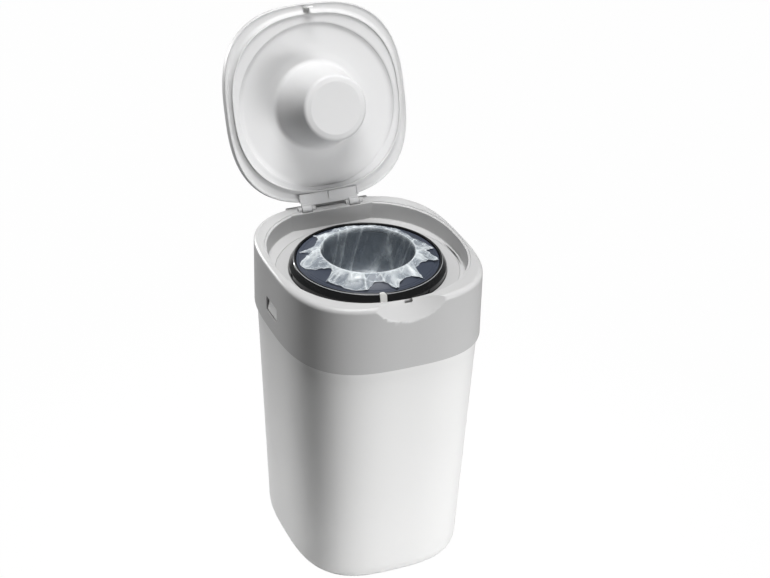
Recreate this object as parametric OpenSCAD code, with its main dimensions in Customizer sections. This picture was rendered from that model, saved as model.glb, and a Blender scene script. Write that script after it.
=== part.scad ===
// Nappy bin: a squircle tub, a lift-off top unit, a turntable that twists the film
// cassette, and a hinged lid whose plunger pushes each nappy down through a flexible clamp.
// Millimetres, +Z up, origin on the floor under the middle of the rim, front towards -Y.
// The lid stands open, as lid_open says.

/* [Tub] */
// Half the tub's width at its top edge
tub_half_w = 117; // [115:1:135]
// Half the tub's depth at its top edge
tub_half_d = 130.5; // [128:0.5:150]
// Half the tub's width just above the foot bevel
foot_half_w = 104; // [90:1:114]
// Half the tub's depth just above the foot bevel
foot_half_d = 120; // [105:1:126]
// How far the foot lies behind the middle of the rim
foot_back = 2.7; // [0:0.1:6]
// Height of the tub's top edge above the floor
tub_h = 351.7; // [300:0.1:420]
// Thickness of the tub's wall
tub_wall = 2.5; // [2:0.1:3.5]
// Thickness of the tub's floor
tub_floor = 3; // [2:0.5:5]
// Exponent of the body's superellipse outline
body_n = 3.05; // [2.8:0.05:4]
// How far the bevel round the foot goes in
bevel_in = 10.7; // [4:0.1:16]
// Height of the bevel round the foot
bevel_h = 20; // [8:1:30]
// Radius of each rubber foot
foot_pad_r = 10; // [6:1:14]
// Thickness of each rubber foot, set flush in the tub's floor
foot_pad_h = 1.5; // [1:0.1:1.8]
// How far the middle of each rubber foot lies in from the foot's side, front and back
foot_pad_in = 41; // [34:1:50]

/* [Collar] */
// Thickness of the collar's skirt
collar_wall = 2.6; // [2:0.1:3.5]
// Gap between the tub's neck and the skirt
collar_gap = 0.4; // [0.3:0.1:0.8]
// How far the skirt hangs below the tub's top edge
skirt_h = 47.3; // [42:0.1:60]
// Height of the rim above the tub's top edge
collar_rise = 36.3; // [34:0.1:44]
// Radius of the rim's outer fillet
rim_fillet = 6; // [3:0.5:8]
// Width of the rim at the sides, from the outside to the well
rim_side_w = 7.5; // [7:0.1:9]
// Width of the rim at the front and back
rim_front_w = 14.5; // [13:0.1:18]
// Exponent of the well's outline
well_n = 2.3; // [2:0.05:2.6]
// Depth of the deck below the rim
well_depth = 22; // [18:0.5:24]
// Width of the step between the rim and the well
step_w = 2.6; // [1:0.1:3]
// Height of that step
step_h = 1.3; // [0.8:0.1:2]
// Radius of the dish that leaves room for fingers under the lid
scoop_r = 114.5; // [95:0.5:130]
// Height of the middle of that dish above the rim
scoop_up = 43; // [36:0.5:50]
// How far the dish reaches in from the collar's front
scoop_in = 12.5; // [8:0.5:13]
// Thickness of the wall behind the dish
scoop_wall = 2.5; // [2:0.1:3.5]

/* [Release windows] */
// Width of the window in each side of the collar
window_w = 34; // [26:1:40]
// Height of the window
window_h = 19; // [14:1:22]
// How far the window's middle lies in front of the rim's middle
window_front = 5; // [0:1:10]
// Height of the window's lower edge above the skirt's lower edge
window_up = 20.6; // [14:0.1:21]
// How far the snap tongue stands out of the tub's neck
tongue_out = 2; // [1:0.1:2.4]

/* [Deck and turntable] */
// How far the turntable's axis lies in front of the rim's middle
spin_front = 3.5; // [0:0.5:6]
// Outer radius of the round deck plate
deck_r = 107.6; // [104:0.1:108]
// Thickness of the deck plate
deck_t = 2.7; // [2:0.1:3.5]
// Height of the turntable's bezel above the deck
bezel_rise = 14; // [10:0.5:16]
// Height of the bezel's upright part above the deck
bezel_step = 6; // [4:0.5:8]
// Width of the bezel at its foot
bezel_w = 7.8; // [7:0.1:9]
// Width of the bezel at its top
bezel_top_w = 2.8; // [2:0.1:4]
// Thickness of the turntable's wall
turn_wall = 2; // [1.6:0.1:2.4]
// Number of grip notches round the bezel
notches = 6; // [3:1:12]
// Number of ratchet teeth
teeth = 36; // [24:4:48]
// Depth of the ratchet teeth
tooth_h = 2.4; // [1.5:0.1:2.8]
// Width of the index tab clipped over the bezel
tab_w = 8; // [5:0.5:12]

/* [Film cassette] */
// Outer radius of the cassette
cassette_r = 83.4; // [80:0.1:84]
// Height of the cassette from its floor to its cover's outer edge
cassette_h = 55.2; // [45:0.1:60]
// Radius of the hole through the cassette
core_r = 57; // [55:0.5:60]
// Thickness of the cassette's walls
cassette_wall = 1.7; // [1.2:0.1:2.2]
// How far the cover's inner lip stands above its outer edge
cover_rise = 11; // [8:0.5:13]
// Thickness of the gathered film
film_t = 1.2; // [0.8:0.1:1.6]
// Number of pleats in the packed film
pleats = 16; // [8:1:24]

/* [Clamp] */
// Number of flexible fingers
fingers = 12; // [8:1:16]
// Radius of the hole between the fingertips
finger_hole_r = 10; // [9:0.5:16]
// How far the fingertips lie below the clamp's flange
finger_drop = 14.4; // [8:0.1:20]
// Thickness of the clamp
clamp_t = 1.4; // [1:0.1:2]

/* [Lid] */
// Angle at which the lid stands open
lid_open = 110; // [90:1:112]
// How far the lid laps over the rim at the sides
lid_lap = 1.5; // [0.5:0.1:3]
// How far the lid reaches out over the finger dish
lid_front_lap = 6.4; // [4:0.1:8]
// Gap between the closed lid's edge and the rim
lid_gap = 2; // [1.8:0.1:3]
// Exponent of the lid's outline
lid_n = 2.75; // [2.6:0.05:3]
// Height of the lid's upright edge
lid_edge_h = 9; // [6:0.5:12]
// Height of the lid's crown above its upright edge
lid_crown_h = 14.6; // [12:0.1:20]
// Thickness of the lid's shell
lid_wall = 2.4; // [2:0.1:2.8]
// Radius of the round recess in the liner
recess_r = 97.7; // [95:0.1:99]
// Width of the rounded edge of that recess
recess_edge_w = 2; // [0.6:0.1:2.2]
// Depth of that rounded edge
recess_edge_h = 3.4; // [2:0.1:4]
// Thickness of the liner
liner_t = 2.2; // [1.6:0.1:2.6]
// Radius of the plunger's flat tip
plunger_r = 38; // [30:0.5:39]
// Radius of the plunger where it leaves the liner
plunger_base_r = 51; // [46:0.5:51]
// How far the plunger's tip lies below the rim when the lid is closed
plunger_reach = 61; // [50:0.5:62]
// Width of the seal's lip
seal_w = 2.2; // [1.6:0.1:3]
// Half width of the catch under the lid's front edge
catch_half_w = 4; // [3:0.5:6]
// How far the catch reaches below the rim when the lid is closed
catch_drop = 12.5; // [10:0.5:14]
// Thickness of the catch
catch_t = 1.2; // [1:0.1:1.6]

/* [Hinge] */
// How far the hinge axis lies in from the collar's back
hinge_in = 15.5; // [15:0.1:16.5]
// Height of the hinge axis above the rim
hinge_up = 1; // [0.6:0.1:1.4]
// Half width of the hinge leaf
leaf_half_w = 38; // [34:1:42]
// Radius of the hinge pins
pin_r = 1.9; // [1.5:0.1:2.2]
// Outer radius of the knuckles
knuckle_r = 4.6; // [4.2:0.1:5]
// Width of each knuckle
knuckle_w = 12; // [8:0.5:13]

/* [Clearances] */
// Gap between stacked pieces
seat = 0.3; // [0.3:0.05:0.5]
// Radial gap of the turning and sliding pieces
run = 0.4; // [0.35:0.05:0.8]
// Radial gap of a knuckle on its pin
pin_run = 0.06; // [0.03:0.01:0.1]
// Radial gap of a pin in the collar's lugs and of a screw in its hole
pin_fit = 0.02; // [0.01:0.01:0.05]

/* [Hidden] */

// points round each lofted section
loft_points = 80;
foot_gap = 0.2;
eps = 0.01;
over = 1;

// collar outline, rim and well
collar_half_w = tub_half_w + collar_gap + collar_wall;
collar_half_d = tub_half_d + collar_gap + collar_wall;
skirt_z = tub_h - skirt_h;
rim_z = tub_h + collar_rise;
shoulder_z = tub_h + seat;
well_half_w = collar_half_w - rim_side_w;
well_half_d = collar_half_d - rim_front_w;
deck_z = rim_z - well_depth;
deck_under = deck_z - deck_t;
ledge_t = 2.5;
ledge_w = 3.1;
ledge_r = deck_r - ledge_w;
well_wall = 1.8;
well_draft = 0.9;

// turntable, from the cassette outwards
turn_in = cassette_r + 2 * run;
turn_out = turn_in + turn_wall;
bezel_r = turn_in + bezel_w;
bezel_z = deck_z + bezel_rise;
cassette_top = bezel_z - 2;
cassette_z = cassette_top - cassette_h;
turn_hole_r = core_r + 3;
turn_floor_top = cassette_z - seat;
turn_floor_z = turn_floor_top - turn_wall;
skirt_foot = deck_z - 8;
ratchet_in = turn_out + 0.05;
ratchet_root = turn_out + 2;
ratchet_tip = ratchet_root + tooth_h;
ratchet_z = turn_floor_z + 5.5;
ratchet_t = 6;

// housing that hangs under the deck
housing_in = bezel_r + 2.2;
housing_wall = 2.2;
housing_out = housing_in + housing_wall;
housing_floor_t = 2.4;
housing_floor_top = turn_floor_z - 2.1;
housing_z = housing_floor_top - housing_floor_t;
housing_hole_r = turn_hole_r + 2;
deck_screw_at = housing_out + 3.6;
flange_top = deck_under - ledge_t - seat;
flange_t = 2.4;
flange_z = flange_top - flange_t;
flange_r = deck_r + 2.4;

// clamp and its fixing
clamp_top = housing_z - seat;
clamp_r = housing_hole_r + 14;
finger_root_r = core_r;
retainer_t = 2.1;
retainer_top = clamp_top - clamp_t - seat;
clamp_screw_at = clamp_r - 6;

// screws
screw_r = 1.4;
screw_head_r = 2.8;
screw_head_h = 1.9;
screw_clear = 0.4;

// lid, drawn closed and turned open about the hinge
hinge_y = collar_half_d - hinge_in;
hinge_z = rim_z + hinge_up;
lid_z = rim_z + lid_gap;
lid_back = hinge_y - 6.6;
lid_front = -well_half_d - lid_front_lap;
lid_half_w = well_half_w + lid_lap;
lid_half_d = (lid_back - lid_front) / 2;
lid_mid = (lid_back + lid_front) / 2;
tip_z = rim_z - plunger_reach;
ledge_front = hinge_y - 8;
ledge_z = rim_z - 0.6;
// the ledge's front runs out into the well's curved wall at both ends
ledge_half_w = max(leaf_half_w + 3.5,
    1 + well_half_w * pow(1 - pow(ledge_front / well_half_d, well_n), 1 / well_n));
knuckle_x = leaf_half_w - 7.5;
slot_half_w = knuckle_w / 2 + 0.7;
lug_w = 4;
slot_front = ledge_front + 1.5;
leaf_tongue_t = 4.4;
leaf_tongue_y = lid_back - 9.2;
leaf_tongue_in = 7;

// seal and pad outline of the liner
seal_half_w = well_half_w - 6;
seal_front = -well_half_d + 4.8;
seal_back = ledge_front - 10.6;
seal_half_d = (seal_back - seal_front) / 2;
seal_mid = (seal_back + seal_front) / 2;

function squircle(a, b, n, z, mid) =
    [for (i = [0:loft_points - 1])
        let (t = i * 360 / loft_points)
        let (r = pow(pow(abs(cos(t)) / a, n) + pow(abs(sin(t)) / b, n), -1 / n))
        [r * cos(t), mid + r * sin(t), z]];

function flat(a, b, n, mid) = [for (p = squircle(a, b, n, 0, mid)) [p[0], p[1]]];

// each section is [half width, half depth, exponent, height, middle]
module loft(sections) {
    k = loft_points;
    m = len(sections);
    points = [for (s = sections) each squircle(s[0], s[1], s[2], s[3], s[4])];
    sides = [for (j = [0:m - 2]) for (i = [0:k - 1])
        [j * k + i, (j + 1) * k + i, (j + 1) * k + (i + 1) % k, j * k + (i + 1) % k]];
    foot = [for (i = [0:k - 1]) i];
    head = [for (i = [0:k - 1]) (m - 1) * k + (k - 1 - i)];
    polyhedron(points = points, faces = concat([foot], sides, [head]), convexity = 8);
}

// the same sections closed into a ring: up the outside, down the inside
module loft_ring(sections) {
    k = loft_points;
    m = len(sections);
    points = [for (s = sections) each squircle(s[0], s[1], s[2], s[3], s[4])];
    sides = [for (j = [0:m - 1]) for (i = [0:k - 1])
        let (next = (j + 1) % m)
        [j * k + i, next * k + i, next * k + (i + 1) % k, j * k + (i + 1) % k]];
    polyhedron(points = points, faces = sides, convexity = 8);
}

// a turned piece round the turntable's axis
module turned(profile) {
    translate([0, -spin_front, 0])
        rotate_extrude($fn = 128)
            polygon(profile);
}

module around(count, radius, start = 0) {
    for (i = [0:count - 1])
        translate([0, -spin_front, 0])
            rotate([0, 0, start + i * 360 / count])
                translate([radius, 0, 0])
                    children();
}

module screw(foot_z, tip) {
    translate([0, 0, foot_z])
        cylinder(r = screw_head_r, h = screw_head_h, $fn = 32);
    translate([0, 0, foot_z + screw_head_h - eps])
        cylinder(r = screw_r, h = tip - foot_z - screw_head_h + eps, $fn = 32);
}

// ---- tub ----

// half sizes of the tub's outside at a height
function tub_at(z, inset) =
    let (up = (z - bevel_h) / (skirt_z - bevel_h))
    let (f = min(1, max(0, up)))
    [foot_half_w + (tub_half_w - foot_half_w) * f - inset,
     foot_half_d + (tub_half_d - foot_half_d) * f - inset,
     body_n, z, foot_back * (1 - f)];

function bevel_at(part, inset) =
    let (s = tub_at(bevel_h, inset + bevel_in * (1 - sin(part * 90))))
    [s[0], s[1], s[2], bevel_h * (1 - cos(part * 90)), s[4]];

module tub_body() {
    w = tub_wall;
    loft([
        bevel_at(0, 0),
        bevel_at(0.33, 0), bevel_at(0.66, 0), tub_at(bevel_h, 0),
        tub_at(skirt_z, 0), tub_at(tub_h, 0), tub_at(tub_h, w), tub_at(skirt_z, w),
        tub_at(bevel_h, w),
        bevel_at(0.66, w) + [0, 0, 0, tub_floor * 0.4, 0],
        bevel_at(0.33, w) + [0, 0, 0, tub_floor * 0.8, 0],
        bevel_at(0, w) + [0, 0, 0, tub_floor, 0]]);
}

module at_feet() {
    for (x = [-1, 1])
        for (y = [-1, 1])
            translate([x * (foot_half_w - foot_pad_in), foot_back + y * (foot_half_d - foot_pad_in), 0])
                children();
}

tongue_w = window_w - 5;
tongue_top = skirt_z + window_up + window_h + 5.5;
tongue_foot = skirt_z + window_up + 2;
tongue_t = 2.1;
tongue_root_r = 1.1;

module tub() {
    color("white")
        difference() {
            tub_body();
            at_feet()
                translate([0, 0, -over])
                    cylinder(r = foot_pad_r + foot_gap, h = foot_pad_h + over, $fn = 48);
            // the slots that free the snap tongues
            translate([-tub_half_w - over * 4, -window_front - tongue_w / 2 - run,
                    tongue_foot - run * 2])
                cube([2 * tub_half_w + over * 8, tongue_w + 2 * run,
                    tongue_top - tongue_foot + run * 2 + seat]);
        }
}

module foot_pads() {
    color("dimgray")
        at_feet()
            cylinder(r = foot_pad_r, h = foot_pad_h, $fn = 48);
}

// the tongue hangs from the neck's upper edge, with its catch at the free lower end
module release_tongue() {
    front = tub_half_w - 0.1;
    back = front - 2 * tongue_root_r;
    proud = tub_half_w + tongue_out;
    root_z = tongue_top - tongue_root_r;
    translate([0, -window_front + tongue_w / 2, 0])
        rotate([90, 0, 0]) {
            linear_extrude(tongue_w)
                polygon([
                    [back, root_z], [front, root_z],
                    [front, tongue_top - 6], [front + 0.3, tongue_top - 8],
                    [proud, tongue_foot + 3], [proud, tongue_foot],
                    [proud - tongue_t - 0.6, tongue_foot],
                    [back, tongue_foot + 6]]);
            translate([front - tongue_root_r, root_z, 0])
                cylinder(r = tongue_root_r, h = tongue_w, $fn = 32);
        }
}

module release_tongue_right() {
    color("white") release_tongue();
}

module release_tongue_left() {
    color("white") mirror([1, 0, 0]) release_tongue();
}

// ---- collar ----

function collar_at(inset, z) =
    [collar_half_w - inset, collar_half_d - inset, body_n, z, 0];

function fillet_at(part) =
    collar_at(rim_fillet * (1 - cos(part * 90)),
        rim_z - rim_fillet + rim_fillet * sin(part * 90));

function well_at(inset, z) =
    [well_half_w - inset, well_half_d - inset, well_n, z, 0];

function round_at(r, z) = [r, r, 2, z, -spin_front];

module collar_ring() {
    inner = collar_wall;
    neck = collar_wall + collar_gap + tub_wall + 0.1;
    roof = rim_z - 3.2;
    loft_ring([
        collar_at(0, skirt_z), fillet_at(0), fillet_at(0.33), fillet_at(0.66), fillet_at(1),
        well_at(-step_w - 0.8, rim_z), well_at(-step_w, rim_z - step_h + 0.2),
        well_at(-step_w + 0.4, rim_z - step_h), well_at(-0.8, rim_z - step_h),
        well_at(0, rim_z - step_h - 1),
        well_at(well_draft, deck_z),
        round_at(deck_r + run, deck_z), round_at(deck_r + run, deck_under - seat),
        round_at(ledge_r, deck_under - seat), round_at(ledge_r, deck_under - ledge_t),
        well_at(well_draft - well_wall, deck_under - ledge_t),
        well_at(-well_wall, roof),
        collar_at(neck, roof), collar_at(neck, shoulder_z),
        collar_at(inner, shoulder_z), collar_at(inner, skirt_z)]);
}

module collar_bulk() {
    loft([collar_at(0, skirt_z), fillet_at(0), fillet_at(0.33), fillet_at(0.66), fillet_at(1)]);
}

scoop_y = -collar_half_d + scoop_in
    - sqrt(scoop_r * scoop_r - scoop_up * scoop_up);

module scoop_ball(extra) {
    translate([0, scoop_y, rim_z + scoop_up])
        sphere(r = scoop_r + extra, $fn = 96);
}

// a wedge of rim material over the given width at the back, for the hinge
module hinge_block() {
    depth = hinge_in - 2.5;
    translate([-ledge_half_w, ledge_front, deck_under - ledge_t])
        cube([2 * ledge_half_w, 8 + depth, ledge_z - deck_under + ledge_t]);
    for (x = [-1, 1])
        for (side = [-1, 1])
            translate([x * knuckle_x + side * (slot_half_w + lug_w / 2) - lug_w / 2,
                    hinge_y, hinge_z])
                rotate([0, 90, 0])
                    cylinder(r = knuckle_r - 1, h = lug_w, $fn = 48);
}

module hinge_slots() {
    for (x = [-1, 1]) {
        translate([x * knuckle_x - slot_half_w, slot_front, hinge_z - knuckle_r - 0.8])
            cube([2 * slot_half_w, 12.8, 20]);
        translate([x * knuckle_x - slot_half_w - lug_w - over, hinge_y, hinge_z])
            rotate([0, 90, 0])
                cylinder(r = pin_r + pin_fit, h = 2 * (slot_half_w + lug_w + over), $fn = 48);
    }
    // hollow behind the ledge
    translate([-ledge_half_w + 2.5, ledge_front + 2.5, deck_under - ledge_t - over])
        cube([2 * ledge_half_w - 5, hinge_in - 0.5, well_depth - 10]);
}

window_z = skirt_z + window_up;
catch_y = lid_front + 4.4;
catch_barb = 0.7;
catch_slot_w = catch_t + 2 * (catch_barb + 0.6);
catch_slot_h = catch_drop + 3.5;

module collar() {
    color("silver")
        difference() {
            union() {
                difference() {
                    union() {
                        collar_ring();
                        hinge_block();
                    }
                    scoop_ball(0);
                }
                intersection() {
                    difference() {
                        scoop_ball(scoop_wall);
                        scoop_ball(0);
                    }
                    difference() {
                        collar_bulk();
                        translate([-collar_half_w, -well_half_d - 0.5, skirt_z])
                            cube([2 * collar_half_w, 2 * collar_half_d, collar_rise + skirt_h + over]);
                    }
                }
            }
            hinge_slots();
            // release windows in both sides
            translate([-collar_half_w - over, -window_front - window_w / 2, window_z])
                cube([2 * collar_half_w + 2 * over, window_w, window_h]);
            // catch slot in the dish
            translate([-catch_half_w - 1, catch_y - catch_slot_w / 2, rim_z - catch_slot_h])
                cube([2 * catch_half_w + 2, catch_slot_w, catch_slot_h + over]);
            // holes in the deck's ledge for the screws
            around(6, deck_screw_at, 30)
                translate([0, 0, deck_under - ledge_t - over])
                    cylinder(r = screw_r + screw_clear, h = ledge_t + over, $fn = 32);
        }
}

// ---- deck, housing and clamp ----

module deck_plate() {
    color("gainsboro")
        difference() {
            turned([
                [bezel_r + run, deck_under], [deck_r, deck_under], [deck_r, deck_z - 0.4],
                [deck_r - 0.4, deck_z], [bezel_r + run + 0.6, deck_z],
                [bezel_r + run, deck_z - 0.6]]);
            around(6, deck_screw_at, 30)
                translate([0, 0, deck_under - over])
                    cylinder(r = screw_r + pin_fit, h = over + deck_t - 0.8, $fn = 32);
        }
}

module cassette_housing() {
    track = skirt_foot - seat;
    color("whitesmoke")
        difference() {
            turned([
                [housing_hole_r, housing_z], [housing_out, housing_z],
                [housing_out, flange_z], [flange_r, flange_z], [flange_r, flange_top],
                [ledge_r - 0.6, flange_top], [ledge_r - 0.6, deck_under - seat],
                [housing_in, deck_under - seat], [housing_in, track],
                [ratchet_tip + run, track], [ratchet_tip + run, track - 2.2],
                [housing_in, track - 2.2], [housing_in, housing_floor_top],
                [housing_hole_r, housing_floor_top]]);
            around(6, deck_screw_at, 30)
                translate([0, 0, flange_z - over])
                    cylinder(r = screw_r + pin_fit, h = 20, $fn = 32);
            around(3, clamp_screw_at, 90)
                translate([0, 0, housing_z - over])
                    cylinder(r = screw_r + pin_fit, h = housing_floor_t + 2 * over, $fn = 32);
        }
}

module deck_screws() {
    color("gray")
        around(6, deck_screw_at, 30)
            screw(flange_z - seat - screw_head_h, deck_z - 1.2);
}

module film_clamp() {
    lip = finger_root_r - 1;
    color("lightgray")
        difference() {
            turned([
                [lip, clamp_top - clamp_t], [clamp_r, clamp_top - clamp_t],
                [clamp_r, clamp_top], [lip, clamp_top],
                [finger_hole_r, clamp_top - finger_drop],
                [finger_hole_r, clamp_top - finger_drop - clamp_t]]);
            around(fingers, 0)
                translate([0, -0.7, clamp_top - finger_drop - 2 * clamp_t])
                    cube([lip - 3, 1.4, finger_drop + 4 * clamp_t]);
            around(3, clamp_screw_at, 90)
                translate([0, 0, clamp_top - clamp_t - over])
                    cylinder(r = screw_r + screw_clear, h = clamp_t + 2 * over, $fn = 32);
        }
}

module clamp_retainer() {
    color("silver")
        difference() {
            turned([
                [housing_hole_r + 2, retainer_top - retainer_t], [clamp_r, retainer_top - retainer_t],
                [clamp_r, retainer_top], [housing_hole_r + 2, retainer_top]]);
            around(3, clamp_screw_at, 90)
                translate([0, 0, retainer_top - retainer_t - over])
                    cylinder(r = screw_r + screw_clear, h = retainer_t + 2 * over, $fn = 32);
        }
}

module clamp_screws() {
    color("gray")
        around(3, clamp_screw_at, 90)
            screw(retainer_top - retainer_t - seat - screw_head_h, housing_floor_top - 0.2);
}

function on_circle(r, a) = [r * cos(a), r * sin(a)];

module click_springs() {
    pitch = 360 / teeth;
    arm_r = ratchet_tip + 1.4;
    foot_r = housing_in - seat;
    color("white")
        translate([0, -spin_front, ratchet_z + 1])
            for (a = [0, 180])
                rotate([0, 0, a])
                    linear_extrude(ratchet_t - 2)
                        polygon(concat(
                            [on_circle(ratchet_root + 0.7, 0.12 * pitch)],
                            [on_circle(arm_r, 0.6 * pitch)],
                            [for (t = [1:5]) on_circle(arm_r, 0.6 * pitch + t * 5)],
                            [on_circle(foot_r, 34), on_circle(foot_r, 26)],
                            [for (t = [4:-1:1]) on_circle(arm_r + 0.9, 0.6 * pitch + t * 5)],
                            [on_circle(arm_r + 0.6, 0.06 * pitch)]));
}

// ---- turntable ----

module turntable() {
    top_r = turn_in + bezel_top_w;
    step_z = deck_z + bezel_step;
    color("#1c1d20")
        difference() {
            turned([
                [turn_hole_r, turn_floor_z], [turn_out, turn_floor_z],
                [turn_out, bezel_z - 5.2], [top_r + 0.6, bezel_z - 5.2],
                [bezel_r - turn_wall, step_z - 1], [bezel_r - turn_wall, skirt_foot],
                [bezel_r, skirt_foot], [bezel_r, step_z], [top_r + 0.9, bezel_z - 1.2],
                [top_r + 0.4, bezel_z - 0.3], [top_r - 0.3, bezel_z],
                [turn_in + 0.5, bezel_z], [turn_in, bezel_z - 0.6],
                [turn_in, turn_floor_top], [turn_hole_r, turn_floor_top]]);
            around(notches, bezel_r - 1.2, 55)
                translate([0, -4.5, deck_z + 1])
                    cube([4, 9, bezel_step - 1.6]);
        }
}

module ratchet_ring() {
    pitch = 360 / teeth;
    color("#3a3c40")
        translate([0, -spin_front, ratchet_z])
            difference() {
                linear_extrude(ratchet_t)
                    polygon([for (i = [0:teeth - 1])
                        each [on_circle(ratchet_root, i * pitch),
                            on_circle(ratchet_tip, (i + 0.96) * pitch)]]);
                translate([0, 0, -over])
                    cylinder(r = ratchet_in, h = ratchet_t + 2 * over, $fn = 128);
            }
}

module index_tab() {
    gap = 0.1;
    thick = 1.3;
    top_r = turn_in + bezel_top_w;
    step_z = deck_z + bezel_step;
    low = deck_z + 0.8;
    color("ivory")
        intersection() {
            turned([
                [bezel_r + gap, low], [bezel_r + thick, low], [bezel_r + thick, step_z + 0.4],
                [top_r + 1.7, bezel_z], [top_r + 0.6, bezel_z + thick],
                [turn_in + 1, bezel_z + thick], [turn_in + 1, bezel_z + gap],
                [top_r + 0.3, bezel_z + gap], [top_r + 1.2, bezel_z - 1],
                [bezel_r + gap, step_z + gap]]);
            around(1, bezel_r - 8, -101)
                translate([0, -tab_w / 2, deck_z])
                    cube([12, tab_w, bezel_rise + 3]);
        }
}

// ---- cassette ----

module cassette_cup() {
    w = cassette_wall;
    rim = cassette_top - 4;
    color("#3f4656")
        turned([
            [core_r, cassette_z], [cassette_r, cassette_z], [cassette_r, rim],
            [cassette_r - w, rim], [cassette_r - w, cassette_z + w],
            [core_r + w, cassette_z + w], [core_r + w, cassette_top + cover_rise - 6],
            [core_r, cassette_top + cover_rise - 6]]);
}

// [part of the way in from the outer edge to the lip, part of the rise]
cover_curve = [[0.03, 0.015], [0.25, 0.18], [0.5, 0.45], [0.73, 0.76], [0.88, 0.93], [0.95, 0.99]];
lip_r = core_r - 1;

// two fine grooves run round near the outer edge
groove_in = [2.6, 5.2];
groove_half_w = 0.5;
groove_depth = 0.5;

function cover_height(r) =
    cassette_top + cover_rise * lookup((cassette_r - r) / (cassette_r - lip_r),
        concat([[0, 0]], cover_curve, [[1, 1]]));

function cover_line(lift) =
    [for (c = cover_curve)
        [cassette_r - (cassette_r - lip_r) * c[0], cassette_top + cover_rise * c[1] + lift]];

// the slope's top, with the grooves between its first and second points
function grooved_line() =
    concat([cover_line(0)[0]],
        [for (g = groove_in)
            for (side = [-1, 0, 1])
                [cassette_r - g - side * groove_half_w,
                    cover_height(cassette_r - g - side * groove_half_w)
                        - (side == 0 ? groove_depth : 0)]],
        [for (i = [1:len(cover_curve) - 1]) cover_line(0)[i]]);

function reversed(list) = [for (i = [len(list) - 1:-1:0]) list[i]];

module cassette_cover() {
    w = cassette_wall;
    top = cassette_top + cover_rise;
    color("#4a5263")
        turned(concat(
            [[cassette_r, cassette_top - 4 + seat], [cassette_r, cassette_top - 0.6]],
            grooved_line(),
            [[lip_r + 0.4, top - 0.3], [lip_r, top - 1.1], [lip_r, top - 3.7],
             [lip_r + 1.2, top - 3.7], [lip_r + 1.2, top - w]],
            reversed([for (p = cover_line(-w)) if (p[0] < cassette_r - w - 1) p]),
            [[cassette_r - w, cassette_top - w - 0.2], [cassette_r - w, cassette_top - 4 + seat]]));
}

module film_pack() {
    low = cassette_z + cassette_wall + seat;
    high = cassette_top - 5.5;
    step = (high - low) / pleats;
    near = core_r + cassette_wall + 0.5;
    far = cassette_r - cassette_wall - 0.5;
    color("aliceblue")
        turned(concat(
            [[near, low]],
            [for (i = [0:pleats - 1])
                each [[far, low + i * step], [far - 1.4, low + (i + 0.5) * step]]],
            [[far, high], [near, high]]));
}

film_r = lip_r - 0.8;
film_foot = clamp_top - 1;

// the film lies on the cover, turns over the lip and hangs through the clamp to its knot
module film_sleeve() {
    top = cassette_top + cover_rise;
    gap = 0.4;
    t = film_t;
    tail = finger_hole_r - 4.5;
    knot = finger_hole_r - 2.5;
    knot_z = clamp_top - 45;
    under = [for (p = cover_line(gap)) if (p[0] < cassette_r - 2.5) p];
    above = [for (p = cover_line(gap + t)) if (p[0] < cassette_r - 2.5) p];
    color("#e8eef4", 0.8)
        turned(concat(
            [[0, knot_z], [knot * 0.4, knot_z], [knot, knot_z + 4], [knot, knot_z + 11],
             [tail, knot_z + 14], [tail, film_foot - 11], [tail + 3, film_foot - 7.5],
             [film_r - 5, film_foot + 15], [film_r, film_foot + 22], [film_r, top - 1.2],
             [film_r + 1, top + gap]],
            reversed(under),
            above,
            [[film_r + 1, top + gap + t], [film_r - t * 0.6, top + gap + t * 0.4],
             [film_r - t, top - 1.2], [film_r - t, film_foot + 22.5],
             [film_r - 5 - t * 0.6, film_foot + 16.2], [tail + 2.5, film_foot - 6.3],
             [0, film_foot - 9.5]]));
}

// ---- lid ----

module opened() {
    translate([0, hinge_y, hinge_z])
        rotate([-lid_open, 0, 0])
            translate([0, -hinge_y, -hinge_z])
                children();
}

function lid_at(inset, rise) =
    [lid_half_w - inset, lid_half_d - inset, lid_n, lid_z + rise, lid_mid];

module lid_shell() {
    e = lid_edge_h;
    c = lid_crown_h;
    w = lid_wall;
    color("silver")
        opened()
            loft([
                lid_at(70, e + c - w), lid_at(40, e + c * 0.93 - w), lid_at(21, e + c * 0.78 - w),
                lid_at(11, e + c * 0.6 - w), lid_at(6 , e + c * 0.41 - w * 0.7),
                lid_at(w + 0.9, e + c * 0.2 - w * 0.3), lid_at(w, e),
                lid_at(w, 1), lid_at(w + 0.8, 0), lid_at(1, 0), lid_at(0, 1.4), lid_at(0, e),
                lid_at(1, e + c * 0.22), lid_at(3.6, e + c * 0.41), lid_at(9, e + c * 0.6),
                lid_at(20, e + c * 0.78), lid_at(40, e + c * 0.93), lid_at(70, e + c)]);
}

liner_z = lid_z - 0.5;
seal_foot = lid_z - 2.8;
seal_h = 4;
recess_z = lid_z + 5;

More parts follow.
